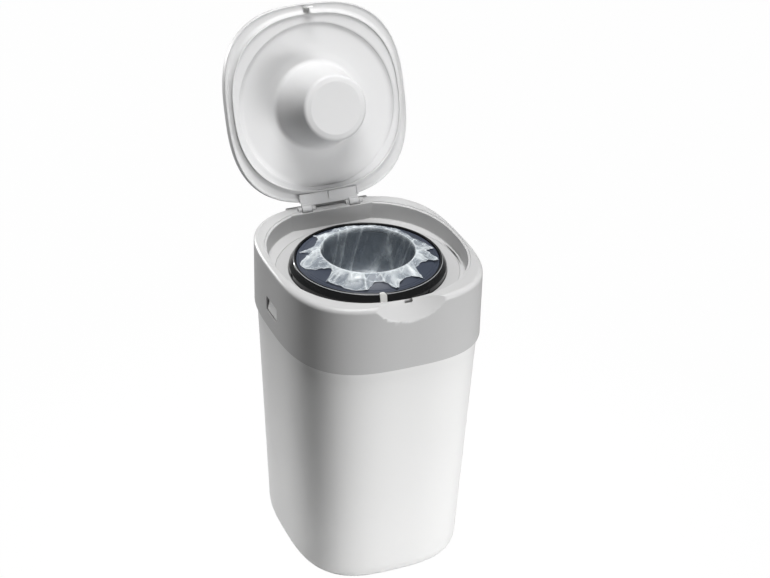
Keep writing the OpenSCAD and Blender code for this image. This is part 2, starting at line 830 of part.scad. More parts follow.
// the round disc with the plunger, snapped into the liner's ring
module lid_plunger() {
    p = plunger_r;
    b = plunger_base_r;
    t = liner_t;
    rim = recess_r - seat;
    color("#e9ebed")
        opened()
            turned([
                [rim, recess_z - 0.4], [recess_r - 8, recess_z - 1.6],
                [recess_r - 22, recess_z - 2.2], [b + 9, recess_z - 2.1], [b + 5, recess_z - 2.6],
                [b + 2, recess_z - 4.2], [b + 0.3, recess_z - 7], [b - 0.8, recess_z - 11],
                [p + 1.2, tip_z + 6], [p + 0.4, tip_z + 3.4], [p - 1, tip_z + 1.3],
                [p - 3, tip_z + 0.3], [p - 5, tip_z],
                [0, tip_z], [0, tip_z + t], [p - 5, tip_z + t], [p - 3.2, tip_z + t + 0.6],
                [p - 1.8, tip_z + t + 2.6], [p - 1.2, tip_z + t + 5],
                [b - 3, recess_z - 10.6], [b - 1.8, recess_z - 6],
                [b + 0.8, recess_z - 2.2], [b + 4.4, recess_z - 0.5], [b + 9, recess_z + 0.1],
                [recess_r - 22, recess_z], [recess_r - 8, recess_z + 0.7], [rim, recess_z + 1.7]]);
}

module seal_ring(grow) {
    difference() {
        polygon(flat(seal_half_w + grow, seal_half_d + grow, well_n, seal_mid));
        polygon(flat(seal_half_w - seal_w - grow, seal_half_d - seal_w - grow,
            well_n, seal_mid));
    }
}

module lid_liner() {
    flange_at = lid_z + 1.5;
    flange = 1.5;
    pad = 3;
    shelf = recess_z + 1.7 + seat;
    color("#e6e8ea")
        opened()
            difference() {
                union() {
                    difference() {
                        union() {
                            // flange inside the shell's edge
                            translate([0, 0, flange_at])
                                linear_extrude(flange)
                                    polygon(flat(lid_half_w - lid_wall - seat,
                                        lid_half_d - lid_wall - seat, lid_n, lid_mid));
                            // pad inside the seal
                            translate([0, 0, liner_z])
                                linear_extrude(pad)
                                    polygon(flat(seal_half_w - seal_w - seat,
                                        seal_half_d - seal_w - seat, well_n, seal_mid));
                        }
                        translate([0, -spin_front, liner_z - over])
                            cylinder(r = recess_r + 1, h = pad + 2 * over, $fn = 128);
                    }
                    // ring that holds the plunger's disc
                    turned([
                        [recess_r, liner_z], [recess_r + liner_t, liner_z],
                        [recess_r + liner_t, shelf + 1.4], [recess_r - 5, shelf + 1.4],
                        [recess_r - 5, shelf], [recess_r, shelf]]);
                }
                // the recess has a rounded edge
                turned([
                    [0, liner_z - over], [recess_r + recess_edge_w + over, liner_z - over],
                    [recess_r + recess_edge_w * 0.4, liner_z + recess_edge_h * 0.3],
                    [recess_r, liner_z + recess_edge_h], [0, liner_z + recess_edge_h]]);
                // groove of the seal and room for the hinge leaf's tongue
                translate([0, 0, seal_foot - over])
                    linear_extrude(seal_h + over)
                        seal_ring(seat - eps);
                translate([-leaf_half_w + leaf_tongue_in - 1, leaf_tongue_y - 0.6, lid_z - over])
                    cube([2 * (leaf_half_w - leaf_tongue_in + 1), lid_back - leaf_tongue_y, 6]);
            }
}

module lid_seal() {
    color("gainsboro")
        opened()
            translate([0, 0, seal_foot])
                linear_extrude(seal_h)
                    seal_ring(0);
}

module lid_catch() {
    front = catch_y - catch_t / 2;
    back = catch_y + catch_t / 2;
    low = rim_z - catch_drop;
    top = lid_z + catch_t;
    foot = 6;
    color("gainsboro")
        opened()
            translate([-catch_half_w, 0, 0])
                rotate([90, 0, 90])
                    linear_extrude(2 * catch_half_w)
                        polygon([
                            [front, top], [front, low + 3], [front - catch_barb, low + 2],
                            [back - 0.8, low], [back, low + 1.5], [back, lid_z - seat],
                            [catch_y + foot, lid_z - seat], [catch_y + foot, top]]);
}

module hinge_leaf() {
    top = lid_z - seat;
    under = ledge_z + 0.5;
    low = ledge_front - 0.4;
    front = seal_back + 0.6;
    color("silver")
        opened()
            difference() {
                union() {
                    // plate under the lid's back edge
                    translate([-leaf_half_w, front, under])
                        cube([2 * leaf_half_w, low + 0.7 - front, top - under]);
                    // middle of the plate reaches over the ledge
                    translate([-knuckle_x + slot_half_w + lug_w + 0.6, low, under])
                        cube([2 * (knuckle_x - slot_half_w - lug_w - 0.6),
                            hinge_y - 3.7 - low, top - under]);
                    // tongue inside the lid
                    translate([-leaf_half_w + leaf_tongue_in, leaf_tongue_y, under])
                        cube([2 * (leaf_half_w - leaf_tongue_in), leaf_tongue_t, top - under + 4]);
                    // ribs on the face that shows when the lid is open
                    for (x = [-leaf_half_w, -1, leaf_half_w - 2])
                        translate([x, front, under - 1.6])
                            cube([2, low - front, 2]);
                    for (x = [-1, 1]) {
                        translate([x * knuckle_x - knuckle_w / 2, low, under])
                            cube([knuckle_w, hinge_y - low, top - under]);
                        translate([x * knuckle_x - knuckle_w / 2, slot_front + 0.6, hinge_z - 2.5])
                            cube([knuckle_w, hinge_y - slot_front - 0.6, 2.5]);
                        translate([x * knuckle_x - knuckle_w / 2, hinge_y, hinge_z])
                            rotate([0, 90, 0])
                                cylinder(r = knuckle_r, h = knuckle_w, $fn = 48);
                    }
                }
                for (x = [-1, 1])
                    translate([x * knuckle_x - knuckle_w / 2 - over, hinge_y, hinge_z])
                        rotate([0, 90, 0])
                            cylinder(r = pin_r + pin_run, h = knuckle_w + 2 * over, $fn = 48);
            }
}

module hinge_pins() {
    reach = slot_half_w + lug_w - 0.3;
    color("gray")
        for (x = [-1, 1])
            translate([x * knuckle_x - reach, hinge_y, hinge_z])
                rotate([0, 90, 0])
                    cylinder(r = pin_r, h = 2 * reach, $fn = 48);
}

tub();
foot_pads();
release_tongue_left();
release_tongue_right();
collar();
deck_plate();
cassette_housing();
deck_screws();
film_clamp();
clamp_retainer();
clamp_screws();
click_springs();
turntable();
ratchet_ring();
index_tab();
cassette_cup();
cassette_cover();
film_pack();
film_sleeve();
lid_shell();
lid_liner();
lid_plunger();
lid_seal();
lid_catch();
hinge_leaf();
hinge_pins();
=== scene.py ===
# Nappy bin with its lid standing open: smooth mouldings, film and finishes in a pale studio.
import math
import bpy
import bmesh
from mathutils import Matrix, Vector, noise


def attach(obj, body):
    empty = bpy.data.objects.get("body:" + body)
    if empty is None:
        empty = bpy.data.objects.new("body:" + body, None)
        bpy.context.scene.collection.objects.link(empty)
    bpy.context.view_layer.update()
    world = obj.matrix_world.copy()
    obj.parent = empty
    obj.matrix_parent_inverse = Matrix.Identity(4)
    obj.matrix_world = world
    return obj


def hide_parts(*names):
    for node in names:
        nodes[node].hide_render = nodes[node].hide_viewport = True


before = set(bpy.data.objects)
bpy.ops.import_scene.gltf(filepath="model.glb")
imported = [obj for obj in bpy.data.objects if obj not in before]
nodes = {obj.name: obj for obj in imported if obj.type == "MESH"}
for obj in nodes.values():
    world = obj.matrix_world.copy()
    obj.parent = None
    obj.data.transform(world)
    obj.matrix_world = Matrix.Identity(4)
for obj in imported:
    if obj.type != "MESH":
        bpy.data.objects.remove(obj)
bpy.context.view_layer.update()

mm = 0.001
around = 192            # points round a moulded outline
axisY = -3.5            # the turntable's axis stands this far from the tub's middle, in millimetres

camera = {"place": (-0.75737, -1.79379, 1.44934), "turn": (60.0815, -1.3002, -22.8119), "lens": 89.158,
          "shift": (-0.00045, 0.0061)}


def addCamera():
    data = bpy.data.cameras.new("binCamera")
    data.sensor_fit = 'HORIZONTAL'
    data.sensor_width = 36
    data.lens = camera["lens"]
    data.shift_x, data.shift_y = camera["shift"]
    data.clip_start, data.clip_end = 0.05, 50
    holder = bpy.data.objects.new("binCamera", data)
    holder.location = camera["place"]
    holder.rotation_euler = [math.radians(angle) for angle in camera["turn"]]
    bpy.context.collection.objects.link(holder)
    bpy.context.scene.camera = holder


addCamera()
print("camera set")

# a ring is (half width, half depth, exponent, height, middle in y), in millimetres with the lid shut


def reachOf(ring, angle):
    # from the middle to the outline at this angle
    halfWidth, halfDepth, exponent = ring[:3]
    across, along = abs(math.cos(angle) / halfWidth), abs(math.sin(angle) / halfDepth)
    return (across ** exponent + along ** exponent) ** (-1 / exponent)


def onOutline(ring, angle):
    # a ring can also be a function that gives its own reach and height at each angle
    if callable(ring):
        reach, height = ring(angle)
        middle = 0
    else:
        reach, height, middle = reachOf(ring, angle), ring[3], ring[4]
    return Vector((reach * math.cos(angle) * mm, (middle + reach * math.sin(angle)) * mm, height * mm))


def deselectAll():
    if bpy.context.mode != 'OBJECT':
        bpy.ops.object.mode_set(mode='OBJECT')
    bpy.ops.object.select_all(action='DESELECT')


def makeActive(piece):
    deselectAll()
    piece.select_set(True)
    bpy.context.view_layer.objects.active = piece


def placeSelected(piece, oldRing, newRing):
    middle = 0 if callable(oldRing) else oldRing[4]
    mesh = bmesh.from_edit_mesh(piece.data)
    for vert in mesh.verts:
        if vert.select:
            angle = math.atan2(vert.co.y - middle * mm, vert.co.x)
            vert.co = onOutline(newRing, angle)
    bmesh.update_edit_mesh(piece.data)


def loft(name, rings, closed=False, count=around):
    # a circle is pulled up through the rings, one extrusion for each
    deselectAll()
    bpy.ops.mesh.primitive_circle_add(vertices=count, radius=rings[0][0] * mm)
    piece = bpy.context.active_object
    piece.name = piece.data.name = name
    for vert in piece.data.vertices:
        vert.co = onOutline(rings[0], math.atan2(vert.co.y, vert.co.x))
    bpy.ops.object.mode_set(mode='EDIT')
    bpy.ops.mesh.select_mode(type='VERT')
    bpy.ops.mesh.select_all(action='SELECT')
    if not closed:
        bpy.ops.mesh.edge_face_add()
        bpy.ops.mesh.poke()
        bpy.ops.mesh.select_all(action='SELECT')
        mesh = bmesh.from_edit_mesh(piece.data)
        for vert in mesh.verts:
            if len(vert.link_edges) > 3:
                vert.select = False
        mesh.select_flush(False)
        bmesh.update_edit_mesh(piece.data)
        bpy.ops.mesh.select_mode(type='EDGE')
        bpy.ops.mesh.select_non_manifold()
    old = rings[0]
    for ring in rings[1:] + ([rings[0]] if closed else []):
        bpy.ops.mesh.extrude_edges_move()
        placeSelected(piece, old, ring)
        old = ring
    if closed:
        bpy.ops.mesh.select_all(action='SELECT')
        bpy.ops.mesh.remove_doubles(threshold=1e-6)
    else:
        bpy.ops.mesh.edge_face_add()
        bpy.ops.mesh.poke()
    bpy.ops.mesh.select_all(action='SELECT')
    bpy.ops.mesh.normals_make_consistent(inside=False)
    bpy.ops.object.mode_set(mode='OBJECT')
    return piece


def rounded(corners, steps=4, closed=False):
    # corners are (across, up, radius); each radius becomes an arc
    line = []
    last = len(corners) - 1
    for i, (x, z, radius) in enumerate(corners):
        here = Vector((x, z))
        if radius <= 0 or (not closed and i in (0, last)):
            line.append((x, z))
            continue
        before = Vector(corners[i - 1][:2]) - here
        after = Vector(corners[(i + 1) % len(corners)][:2]) - here
        angle = before.angle(after)
        reach = min(radius / math.tan(angle / 2), before.length * 0.49, after.length * 0.49)
        start, end = here + before.normalized() * reach, here + after.normalized() * reach
        for k in range(steps + 1):
            t = k / steps
            spot = start * (1 - t) ** 2 + here * 2 * t * (1 - t) + end * t ** 2
            line.append((spot.x, spot.y))
    return line


def smoothLine(points, steps=5):
    # a soft curve through the points
    ends = [points[0]] + list(points) + [points[-1]]
    line = []
    for i in range(1, len(ends) - 2):
        a, b, c, d = (Vector(p) for p in ends[i - 1:i + 3])
        for k in range(steps):
            t = k / steps
            spot = 0.5 * (2 * b + (c - a) * t + (2 * a - 5 * b + 4 * c - d) * t * t
                          + (3 * b - a - 3 * c + d) * t ** 3)
            line.append(tuple(spot))
    line.append(tuple(points[-1]))
    return line


def addBox(name, low, high, round=0.0):
    # low and high corners in millimetres
    deselectAll()
    bpy.ops.mesh.primitive_cube_add(size=1)
    piece = bpy.context.active_object
    piece.name = piece.data.name = name
    low, high = Vector(low) * mm, Vector(high) * mm
    for vert in piece.data.vertices:
        vert.co = Vector([(low[i] + high[i]) / 2 + vert.co[i] * (high[i] - low[i]) for i in range(3)])
    if round:
        softenEdges(piece, round, 4)
    return piece


def addRod(name, start, end, radius, sides=48):
    start, end = Vector(start) * mm, Vector(end) * mm
    deselectAll()
    bpy.ops.mesh.primitive_cylinder_add(vertices=sides, radius=radius * mm, depth=(end - start).length)
    piece = bpy.context.active_object
    piece.name = piece.data.name = name
    turn = (end - start).to_track_quat('Z', 'Y').to_matrix().to_4x4()
    piece.data.transform(Matrix.Translation((start + end) / 2) @ turn)
    return piece


def applyModifier(piece, kind, **settings):
    makeActive(piece)
    modifier = piece.modifiers.new(kind.lower(), kind)
    for key, value in settings.items():
        setattr(modifier, key, value)
    bpy.ops.object.modifier_apply(modifier=modifier.name)


def softenEdges(piece, width, segments=2, angle=35):
    applyModifier(piece, 'BEVEL', width=width * mm, segments=segments, limit_method='ANGLE',
                  angle_limit=math.radians(angle), use_clamp_overlap=True, harden_normals=False)


def combine(piece, other, how):
    applyModifier(piece, 'BOOLEAN', object=other, operation=how, solver='EXACT')
    bpy.data.objects.remove(other)


def smoothShade(piece, angle=32):
    # large flat faces keep their own normals beside rounded edges
    makeActive(piece)
    bpy.ops.object.shade_smooth_by_angle(angle=math.radians(angle))
    applyModifier(piece, 'WEIGHTED_NORMAL', mode='FACE_AREA', weight=50, keep_sharp=True)


def takeNode(name, nodeName, width=0.3, segments=2):
    # a merged copy of a plain node, with its sharp edges softened
    deselectAll()
    piece = bpy.data.objects.new(name, nodes[nodeName].data.copy())
    piece.data.name = name
    bpy.context.scene.collection.objects.link(piece)
    piece.data.materials.clear()
    makeActive(piece)
    bpy.ops.object.mode_set(mode='EDIT')
    bpy.ops.mesh.select_all(action='SELECT')
    bpy.ops.mesh.remove_doubles(threshold=2e-6)
    bpy.ops.mesh.dissolve_limited(angle_limit=math.radians(0.5))
    bpy.ops.object.mode_set(mode='OBJECT')
    if width:
        softenEdges(piece, width, segments)
    smoothShade(piece)
    return piece


def settle(piece, body, material, slotName, *replaced):
    piece.data.materials.clear()
    piece.data.materials.append(material)
    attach(piece, body)
    if replaced:
        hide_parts(*replaced)


def newMaterial(name):
    material = bpy.data.materials.new(name)
    material.use_nodes = True
    tree = material.node_tree
    shader = tree.nodes["Principled BSDF"]
    return material, tree, shader


def addNode(tree, kind, **values):
    made = tree.nodes.new(kind)
    for key, value in values.items():
        if key in made.inputs:
            made.inputs[key].default_value = value
        else:
            setattr(made, key, value)
    return made


def placeCoords(tree, stretch=(1, 1, 1)):
    coords = tree.nodes.new("ShaderNodeTexCoord")
    mapping = tree.nodes.new("ShaderNodeMapping")
    mapping.inputs["Scale"].default_value = stretch
    tree.links.new(coords.outputs["Object"], mapping.inputs["Vector"])
    return mapping.outputs["Vector"]


def noiseOf(tree, place, scale, detail, roughness, distortion=0.0):
    made = addNode(tree, "ShaderNodeTexNoise", Scale=scale, Detail=detail, Roughness=roughness,
                   Distortion=distortion)
    tree.links.new(place, made.inputs["Vector"])
    return made.outputs["Fac"]


def ranged(tree, source, low, high, start=0.0, end=1.0):
    # start to end becomes low to high
    made = tree.nodes.new("ShaderNodeMapRange")
    for key, value in (("From Min", start), ("From Max", end), ("To Min", low), ("To Max", high)):
        made.inputs[key].default_value = value
    tree.links.new(source, made.inputs["Value"])
    return made.outputs["Result"]


def toneRamp(tree, source, first, second):
    # first and second are (position, colour)
    made = tree.nodes.new("ShaderNodeValToRGB")
    for stop, (position, colour) in zip(made.color_ramp.elements, (first, second)):
        stop.position, stop.color = position, tuple(colour) + (1,)
    tree.links.new(source, made.inputs["Fac"])
    return made.outputs["Color"]


def mixed(tree, part, first, second):
    # first and second are colours, or the outputs of other nodes
    made = tree.nodes.new("ShaderNodeMix")
    made.data_type = 'RGBA'
    tree.links.new(part, made.inputs["Factor"])
    for key, colour in (("A", first), ("B", second)):
        if isinstance(colour, bpy.types.NodeSocket):
            tree.links.new(colour, made.inputs[key])
        else:
            made.inputs[key].default_value = tuple(colour) + (1,)
    return made.outputs["Result"]


def bumped(tree, height, strength, distance, below=None):
    made = addNode(tree, "ShaderNodeBump", Strength=strength, Distance=distance)
    tree.links.new(height, made.inputs["Height"])
    if below is not None:
        tree.links.new(below, made.inputs["Normal"])
    return made.outputs["Normal"]


def mathOf(tree, kind, first, second=None, clamp=False):
    # second is a number or the output of another node
    made = addNode(tree, "ShaderNodeMath", operation=kind, use_clamp=clamp)
    tree.links.new(first, made.inputs[0])
    if isinstance(second, bpy.types.NodeSocket):
        tree.links.new(second, made.inputs[1])
    elif second is not None:
        made.inputs[1].default_value = second
    return made.outputs["Value"]


# what every moulded finish starts from; a finish names only what differs
mouldedLook = {"specular": 0.45, "glow": 0.0, "glowReach": 0.006, "cloud": 9.0, "vary": 0.03,
               "speck": 900.0, "dust": 0.05, "dustColour": (0.55, 0.54, 0.52), "smear": 38.0, "roughVary": 0.05,
               "grain": 1500.0, "grainDepth": 0.2, "grainHeight": 0.00006,
               "wave": 14.0, "waveDepth": 0.25, "waveHeight": 0.0006}


def plastic(name, changes):
    # moulded plastic: fine grain in the tool's finish, faint flow marks, uneven gloss and settled dust
    look = {**mouldedLook, **changes}
    material, tree, shader = newMaterial(name)
    link = tree.links.new
    place = placeCoords(tree)
    shader.inputs["IOR"].default_value = 1.46
    shader.inputs["Specular IOR Level"].default_value = look["specular"]
    if look["glow"]:
        shader.inputs["Subsurface Weight"].default_value = look["glow"]
        shader.inputs["Subsurface Radius"].default_value = (1, 1, 1.05)
        shader.inputs["Subsurface Scale"].default_value = look["glowReach"]
    cloud = noiseOf(tree, place, look["cloud"], 3.0, 0.5)
    tint = mixed(tree, cloud, [c * (1 - look["vary"]) for c in look["colour"]],
                 [min(1, c * (1 + look["vary"])) for c in look["colour"]])
    speck = noiseOf(tree, place, look["speck"], 2.0, 0.7)
    dust = ranged(tree, speck, 0, look["dust"], 0.62, 0.8)
    link(mixed(tree, dust, tint, look["dustColour"]), shader.inputs["Base Color"])
    smear = noiseOf(tree, place, look["smear"], 4.0, 0.6)
    link(ranged(tree, smear, look["roughness"] - look["roughVary"], look["roughness"] + look["roughVary"]),
         shader.inputs["Roughness"])
    grain = noiseOf(tree, place, look["grain"], 1.0, 0.5)
    fine = bumped(tree, grain, look["grainDepth"], look["grainHeight"])
    wave = noiseOf(tree, place, look["wave"], 1.0, 0.4)
    link(bumped(tree, wave, look["waveDepth"], look["waveHeight"], fine), shader.inputs["Normal"])
    return material


whitePlastic = plastic("whitePlastic", {"colour": (0.86, 0.86, 0.855), "roughness": 0.34, "specular": 0.4,
                                        "vary": 0.012, "dust": 0.02, "waveDepth": 0.12})
greyPlastic = plastic("greyPlastic", {"colour": (0.55, 0.55, 0.55), "roughness": 0.36, "specular": 0.4,
                                      "vary": 0.02, "dust": 0.03, "waveDepth": 0.12})
palePlastic = plastic("palePlastic", {"colour": (0.5, 0.5, 0.5), "roughness": 0.42, "specular": 0.35,
                                      "dust": 0.08})
linerPlastic = plastic("linerPlastic", {"colour": (0.7, 0.7, 0.705), "roughness": 0.42, "specular": 0.35,
                                        "glow": 0.3, "glowReach": 0.008, "vary": 0.015, "dust": 0.02})
lidPlastic = plastic("lidPlastic", {"colour": (0.66, 0.66, 0.665), "roughness": 0.38, "specular": 0.35,
                                    "glow": 0.3, "glowReach": 0.012, "vary": 0.015, "dust": 0.02,
                                    "waveDepth": 0.12})
catchPlastic = plastic("catchPlastic", {"colour": (0.86, 0.86, 0.86), "roughness": 0.3, "specular": 0.5,
                                        "glow": 0.9, "glowReach": 0.02, "vary": 0.015})
clampPlastic = plastic("clampPlastic", {"colour": (0.66, 0.66, 0.65), "roughness": 0.5, "glow": 0.1})
blackLook = {"colour": (0.006, 0.0065, 0.007), "roughness": 0.12, "specular": 0.5, "roughVary": 0.04,
             "dust": 0.02, "dustColour": (0.1, 0.1, 0.1), "grainDepth": 0.05, "waveDepth": 0.04}
blackPlastic = plastic("blackPlastic", blackLook)
# the bezel's black, which carries a painted highlight line, added below
bezelPlastic = plastic("bezelPlastic", blackLook)
tabPlastic = plastic("tabPlastic", {"colour": (0.8, 0.8, 0.77), "roughness": 0.4, "glow": 0.2})
cassettePlastic = plastic("cassettePlastic", {"colour": (0.05, 0.06, 0.085), "roughness": 0.4,
                                              "specular": 0.35, "vary": 0.1, "dustColour": (0.25, 0.27, 0.3)})
packedFilm = plastic("packedFilm", {"colour": (0.74, 0.79, 0.83), "roughness": 0.35, "glow": 0.15,
                                    "wave": 120.0, "waveDepth": 0.8})
sealRubber = plastic("sealRubber", {"colour": (0.66, 0.66, 0.66), "roughness": 0.55, "specular": 0.3,
                                    "grain": 900.0})
footRubber = plastic("footRubber", {"colour": (0.1, 0.1, 0.1), "roughness": 0.7, "specular": 0.3,
                                    "grain": 700.0, "grainDepth": 0.5, "dust": 0.2})


def addPaintedHighlightLine(material, radius, width, colour):
    # a painted highlight: a fine pale line round the turntable's axis, painted into the colour where the bezel's
    # edge catches light
    tree = material.node_tree
    base = tree.nodes["Principled BSDF"].inputs["Base Color"]
    centred = addNode(tree, "ShaderNodeVectorMath", operation='ADD')
    centred.inputs[1].default_value = (0, -axisY * mm, 0)
    flat = addNode(tree, "ShaderNodeVectorMath", operation='MULTIPLY')
    flat.inputs[1].default_value = (1, 1, 0)
    reach = addNode(tree, "ShaderNodeVectorMath", operation='LENGTH')
    tree.links.new(placeCoords(tree), centred.inputs[0])
    tree.links.new(centred.outputs["Vector"], flat.inputs[0])
    tree.links.new(flat.outputs["Vector"], reach.inputs[0])
    away = mathOf(tree, 'ABSOLUTE', mathOf(tree, 'SUBTRACT', reach.outputs["Value"], radius * mm))
    line = ranged(tree, away, 0, 1, width * mm * 0.5, width * mm * 0.25)
    tree.links.new(mixed(tree, line, base.links[0].from_socket, colour), base)


# painted highlight: a pale ring in the bezel's black, on its rounded top edge
addPaintedHighlightLine(bezelPlastic, 87.0, 0.9, (0.4, 0.41, 0.42))


def steel(name, dark, light):
    # drawn steel with fine streaks
    material, tree, shader = newMaterial(name)
    link = tree.links.new
    shader.inputs["Metallic"].default_value = 1.0
    streak = noiseOf(tree, placeCoords(tree, (1, 1, 6)), 420.0, 3.0, 0.6)
    link(toneRamp(tree, streak, (0, (dark, dark, dark * 0.97)), (1, (light, light, light))),
         shader.inputs["Base Color"])
    link(ranged(tree, streak, 0.25, 0.45), shader.inputs["Roughness"])
    link(bumped(tree, streak, 0.15, 0.0001), shader.inputs["Normal"])
    return material


screwSteel = steel("screwSteel", 0.42, 0.66)
pinSteel = steel("pinSteel", 0.03, 0.07)        # near-black: painted shade, so the pin ends show dark like the shade in the hinge gaps, not as glints


filmLook = {"fleck": 110.0, "thin": 0.75, "thick": 1.2, "clear": 0.03, "dense": 0.84,
            "dark": (0.5, 0.58, 0.66), "light": (0.82, 0.87, 0.9)}


def filmMaterial(name, look):
    # thin film: nearly clear where it hangs smooth, milky along its creases and torn edge
    material, tree, shader = newMaterial(name)
    link = tree.links.new
    shader.inputs["IOR"].default_value = 1.45
    shader.inputs["Specular IOR Level"].default_value = 0.55
    milk = addNode(tree, "ShaderNodeAttribute", attribute_name="milk")
    fleck = noiseOf(tree, placeCoords(tree), look["fleck"], 4.0, 0.6, 0.8)
    part = mathOf(tree, 'MULTIPLY', milk.outputs["Fac"],
                  ranged(tree, fleck, look["thin"], look["thick"], 0.3, 0.7))
    link(ranged(tree, part, look["clear"], look["dense"]), shader.inputs["Alpha"])
    link(toneRamp(tree, part, (0.05, look["dark"]), (0.6, look["light"])), shader.inputs["Base Color"])
    link(ranged(tree, fleck, 0.16, 0.36), shader.inputs["Roughness"])
    link(bumped(tree, fleck, 0.35, 0.0008), shader.inputs["Normal"])
    return material


linerFilm = filmMaterial("linerFilm", filmLook)
print("materials made")

tubSizes = {"topWidth": 117, "topDepth": 130.5, "footWidth": 104, "footDepth": 120, "footBack": 2.7,
            "height": 351.7, "skirt": 304.4, "wall": 2.5, "edge": 0.8, "floor": 3, "exponent": 3.05,
            "bevelIn": 10.7, "bevelHeight": 20, "bevelSteps": 8, "padRadius": 10.2, "padDepth": 1.5, "padIn": 41,
            "tongueFront": 20, "tongueWidth": 29.8, "tongueLow": 326.2, "tongueHigh": 349.8}


def tubRing(inset, height):
    s = tubSizes
    part = min(1, max(0, (height - s["bevelHeight"]) / (s["skirt"] - s["bevelHeight"])))
    return (s["footWidth"] + (s["topWidth"] - s["footWidth"]) * part - inset,
            s["footDepth"] + (s["topDepth"] - s["footDepth"]) * part - inset,
            s["exponent"], height, s["footBack"] * (1 - part))


def footRing(part, inset, lift=0.0):
    # part goes from 0 at the floor to 1 where the rounded foot ends
    s = tubSizes
    ring = tubRing(inset + s["bevelIn"] * (1 - math.sin(part * math.pi / 2)), s["bevelHeight"])
    return ring[:3] + (s["bevelHeight"] * (1 - math.cos(part * math.pi / 2)) + lift, ring[4])


def makeTub():
    s = tubSizes
    wall, top, edge, steps = s["wall"], s["height"], s["edge"], s["bevelSteps"]
    rings = [footRing(k / steps, 0) for k in range(steps + 1)]
    rings += [tubRing(0, z) for z in (60, 110, 160, 210, 260, 290, s["skirt"], top - edge)]
    rings += [tubRing(0.25, top - 0.2), tubRing(edge, top), tubRing(wall - edge, top),
              tubRing(wall - 0.25, top - 0.2), tubRing(wall, top - edge)]
    rings += [tubRing(wall, z) for z in (s["skirt"], 200, 100, s["bevelHeight"])]
    rings += [footRing(k / 4, wall, s["floor"] * (1 - k / 4)) for k in (3, 2, 1, 0)]
    tub = loft("tubShell", rings)
    for x in (-1, 1):
        for y in (-1, 1):
            spot = Vector((x * (s["footWidth"] - s["padIn"]),
                           s["footBack"] + y * (s["footDepth"] - s["padIn"]), 0))
            combine(tub, addRod("pocket", spot - Vector((0, 0, 2)), spot + Vector((0, 0, s["padDepth"])),
                                s["padRadius"]), 'DIFFERENCE')
    side = s["topWidth"] + 6
    combine(tub, addBox("tongueSlots", (-side, -s["tongueFront"], s["tongueLow"]),
                        (side, s["tongueWidth"] - s["tongueFront"], s["tongueHigh"]), 1.0), 'DIFFERENCE')
    smoothShade(tub, 40)
    settle(tub, "tub", whitePlastic, "white_plastic", "tub")


makeTub()
print("tub made")

collarSizes = {"width": 120, "depth": 133.5, "exponent": 3.05, "skirt": 304.4, "rim": 388, "fillet": 6,
               "wall": 2.6, "neck": 5.6, "roof": 384.8, "shoulder": 352,
               "wellWidth": 112.5, "wellDepth": 119, "wellExponent": 2.3, "draft": 0.9, "wellWall": 1.8,
               "stepOut": 4.2, "stepDown": 1.3, "deck": 366, "deckUnder": 363.3, "plateRadius": 107.75,
               "ledgeRadius": 104.5, "ledge": 2.5}
dishSizes = {"radius": 114.5, "up": 43, "reach": 12.5, "wall": 2.5, "sunk": 1.2, "crownDown": 2.2}
hingeSizes = {"y": 118, "z": 389, "ledgeFront": 110, "ledgeTop": 387.4, "ledgeHalf": 52.5, "back": 13,
              "ledgeWall": 2.5, "hollowLong": 15, "hollowHigh": 11, "knuckleX": 30.5, "slotHalf": 6.7,
              "slotFront": 111.5, "slotLong": 12.8, "slotDown": 5.4, "slotUp": 14, "lug": 4, "lugRadius": 3.6,
              "pin": 1.92}
windowSizes = {"front": 22, "back": 12, "low": 325, "high": 344, "corner": 2.2}
catchSlot = {"half": 5, "front": -122.9, "back": -119.1, "low": 372, "high": 392, "corner": 0.6}


def collarRing(inset, height):
    s = collarSizes
    return (s["width"] - inset, s["depth"] - inset, s["exponent"], height, 0)


def wellRing(inset, height):
    s = collarSizes
    return (s["wellWidth"] - inset, s["wellDepth"] - inset, s["wellExponent"], height, 0)


def roundRing(radius, height):
    return (radius, radius, 2, height, axisY)


def rimHeight(angle, reach):
    # the rounded outer edge of the rim, from the wall up to the flat
    s = collarSizes
    outer, flat = reachOf(collarRing(0, 0), angle), reachOf(collarRing(s["fillet"], 0), angle)
    part = min(1, (outer - reach) / (outer - flat))
    return s["rim"] - s["fillet"] + s["fillet"] * math.sqrt(max(0, 1 - (1 - part) ** 2))


def filletRing(inset, spare):
    # stops where the step into the well begins
    def place(angle):
        step = wellRing(-collarSizes["stepOut"] - spare, 0)
        reach = max(reachOf(collarRing(inset, 0), angle), reachOf(step, angle))
        return reach, rimHeight(angle, reach)
    return place


def stepRing(inset, height):
    # never stands above the rounded edge
    def place(angle):
        reach = reachOf(wellRing(inset, 0), angle)
        return reach, min(height, rimHeight(angle, reach))
    return place


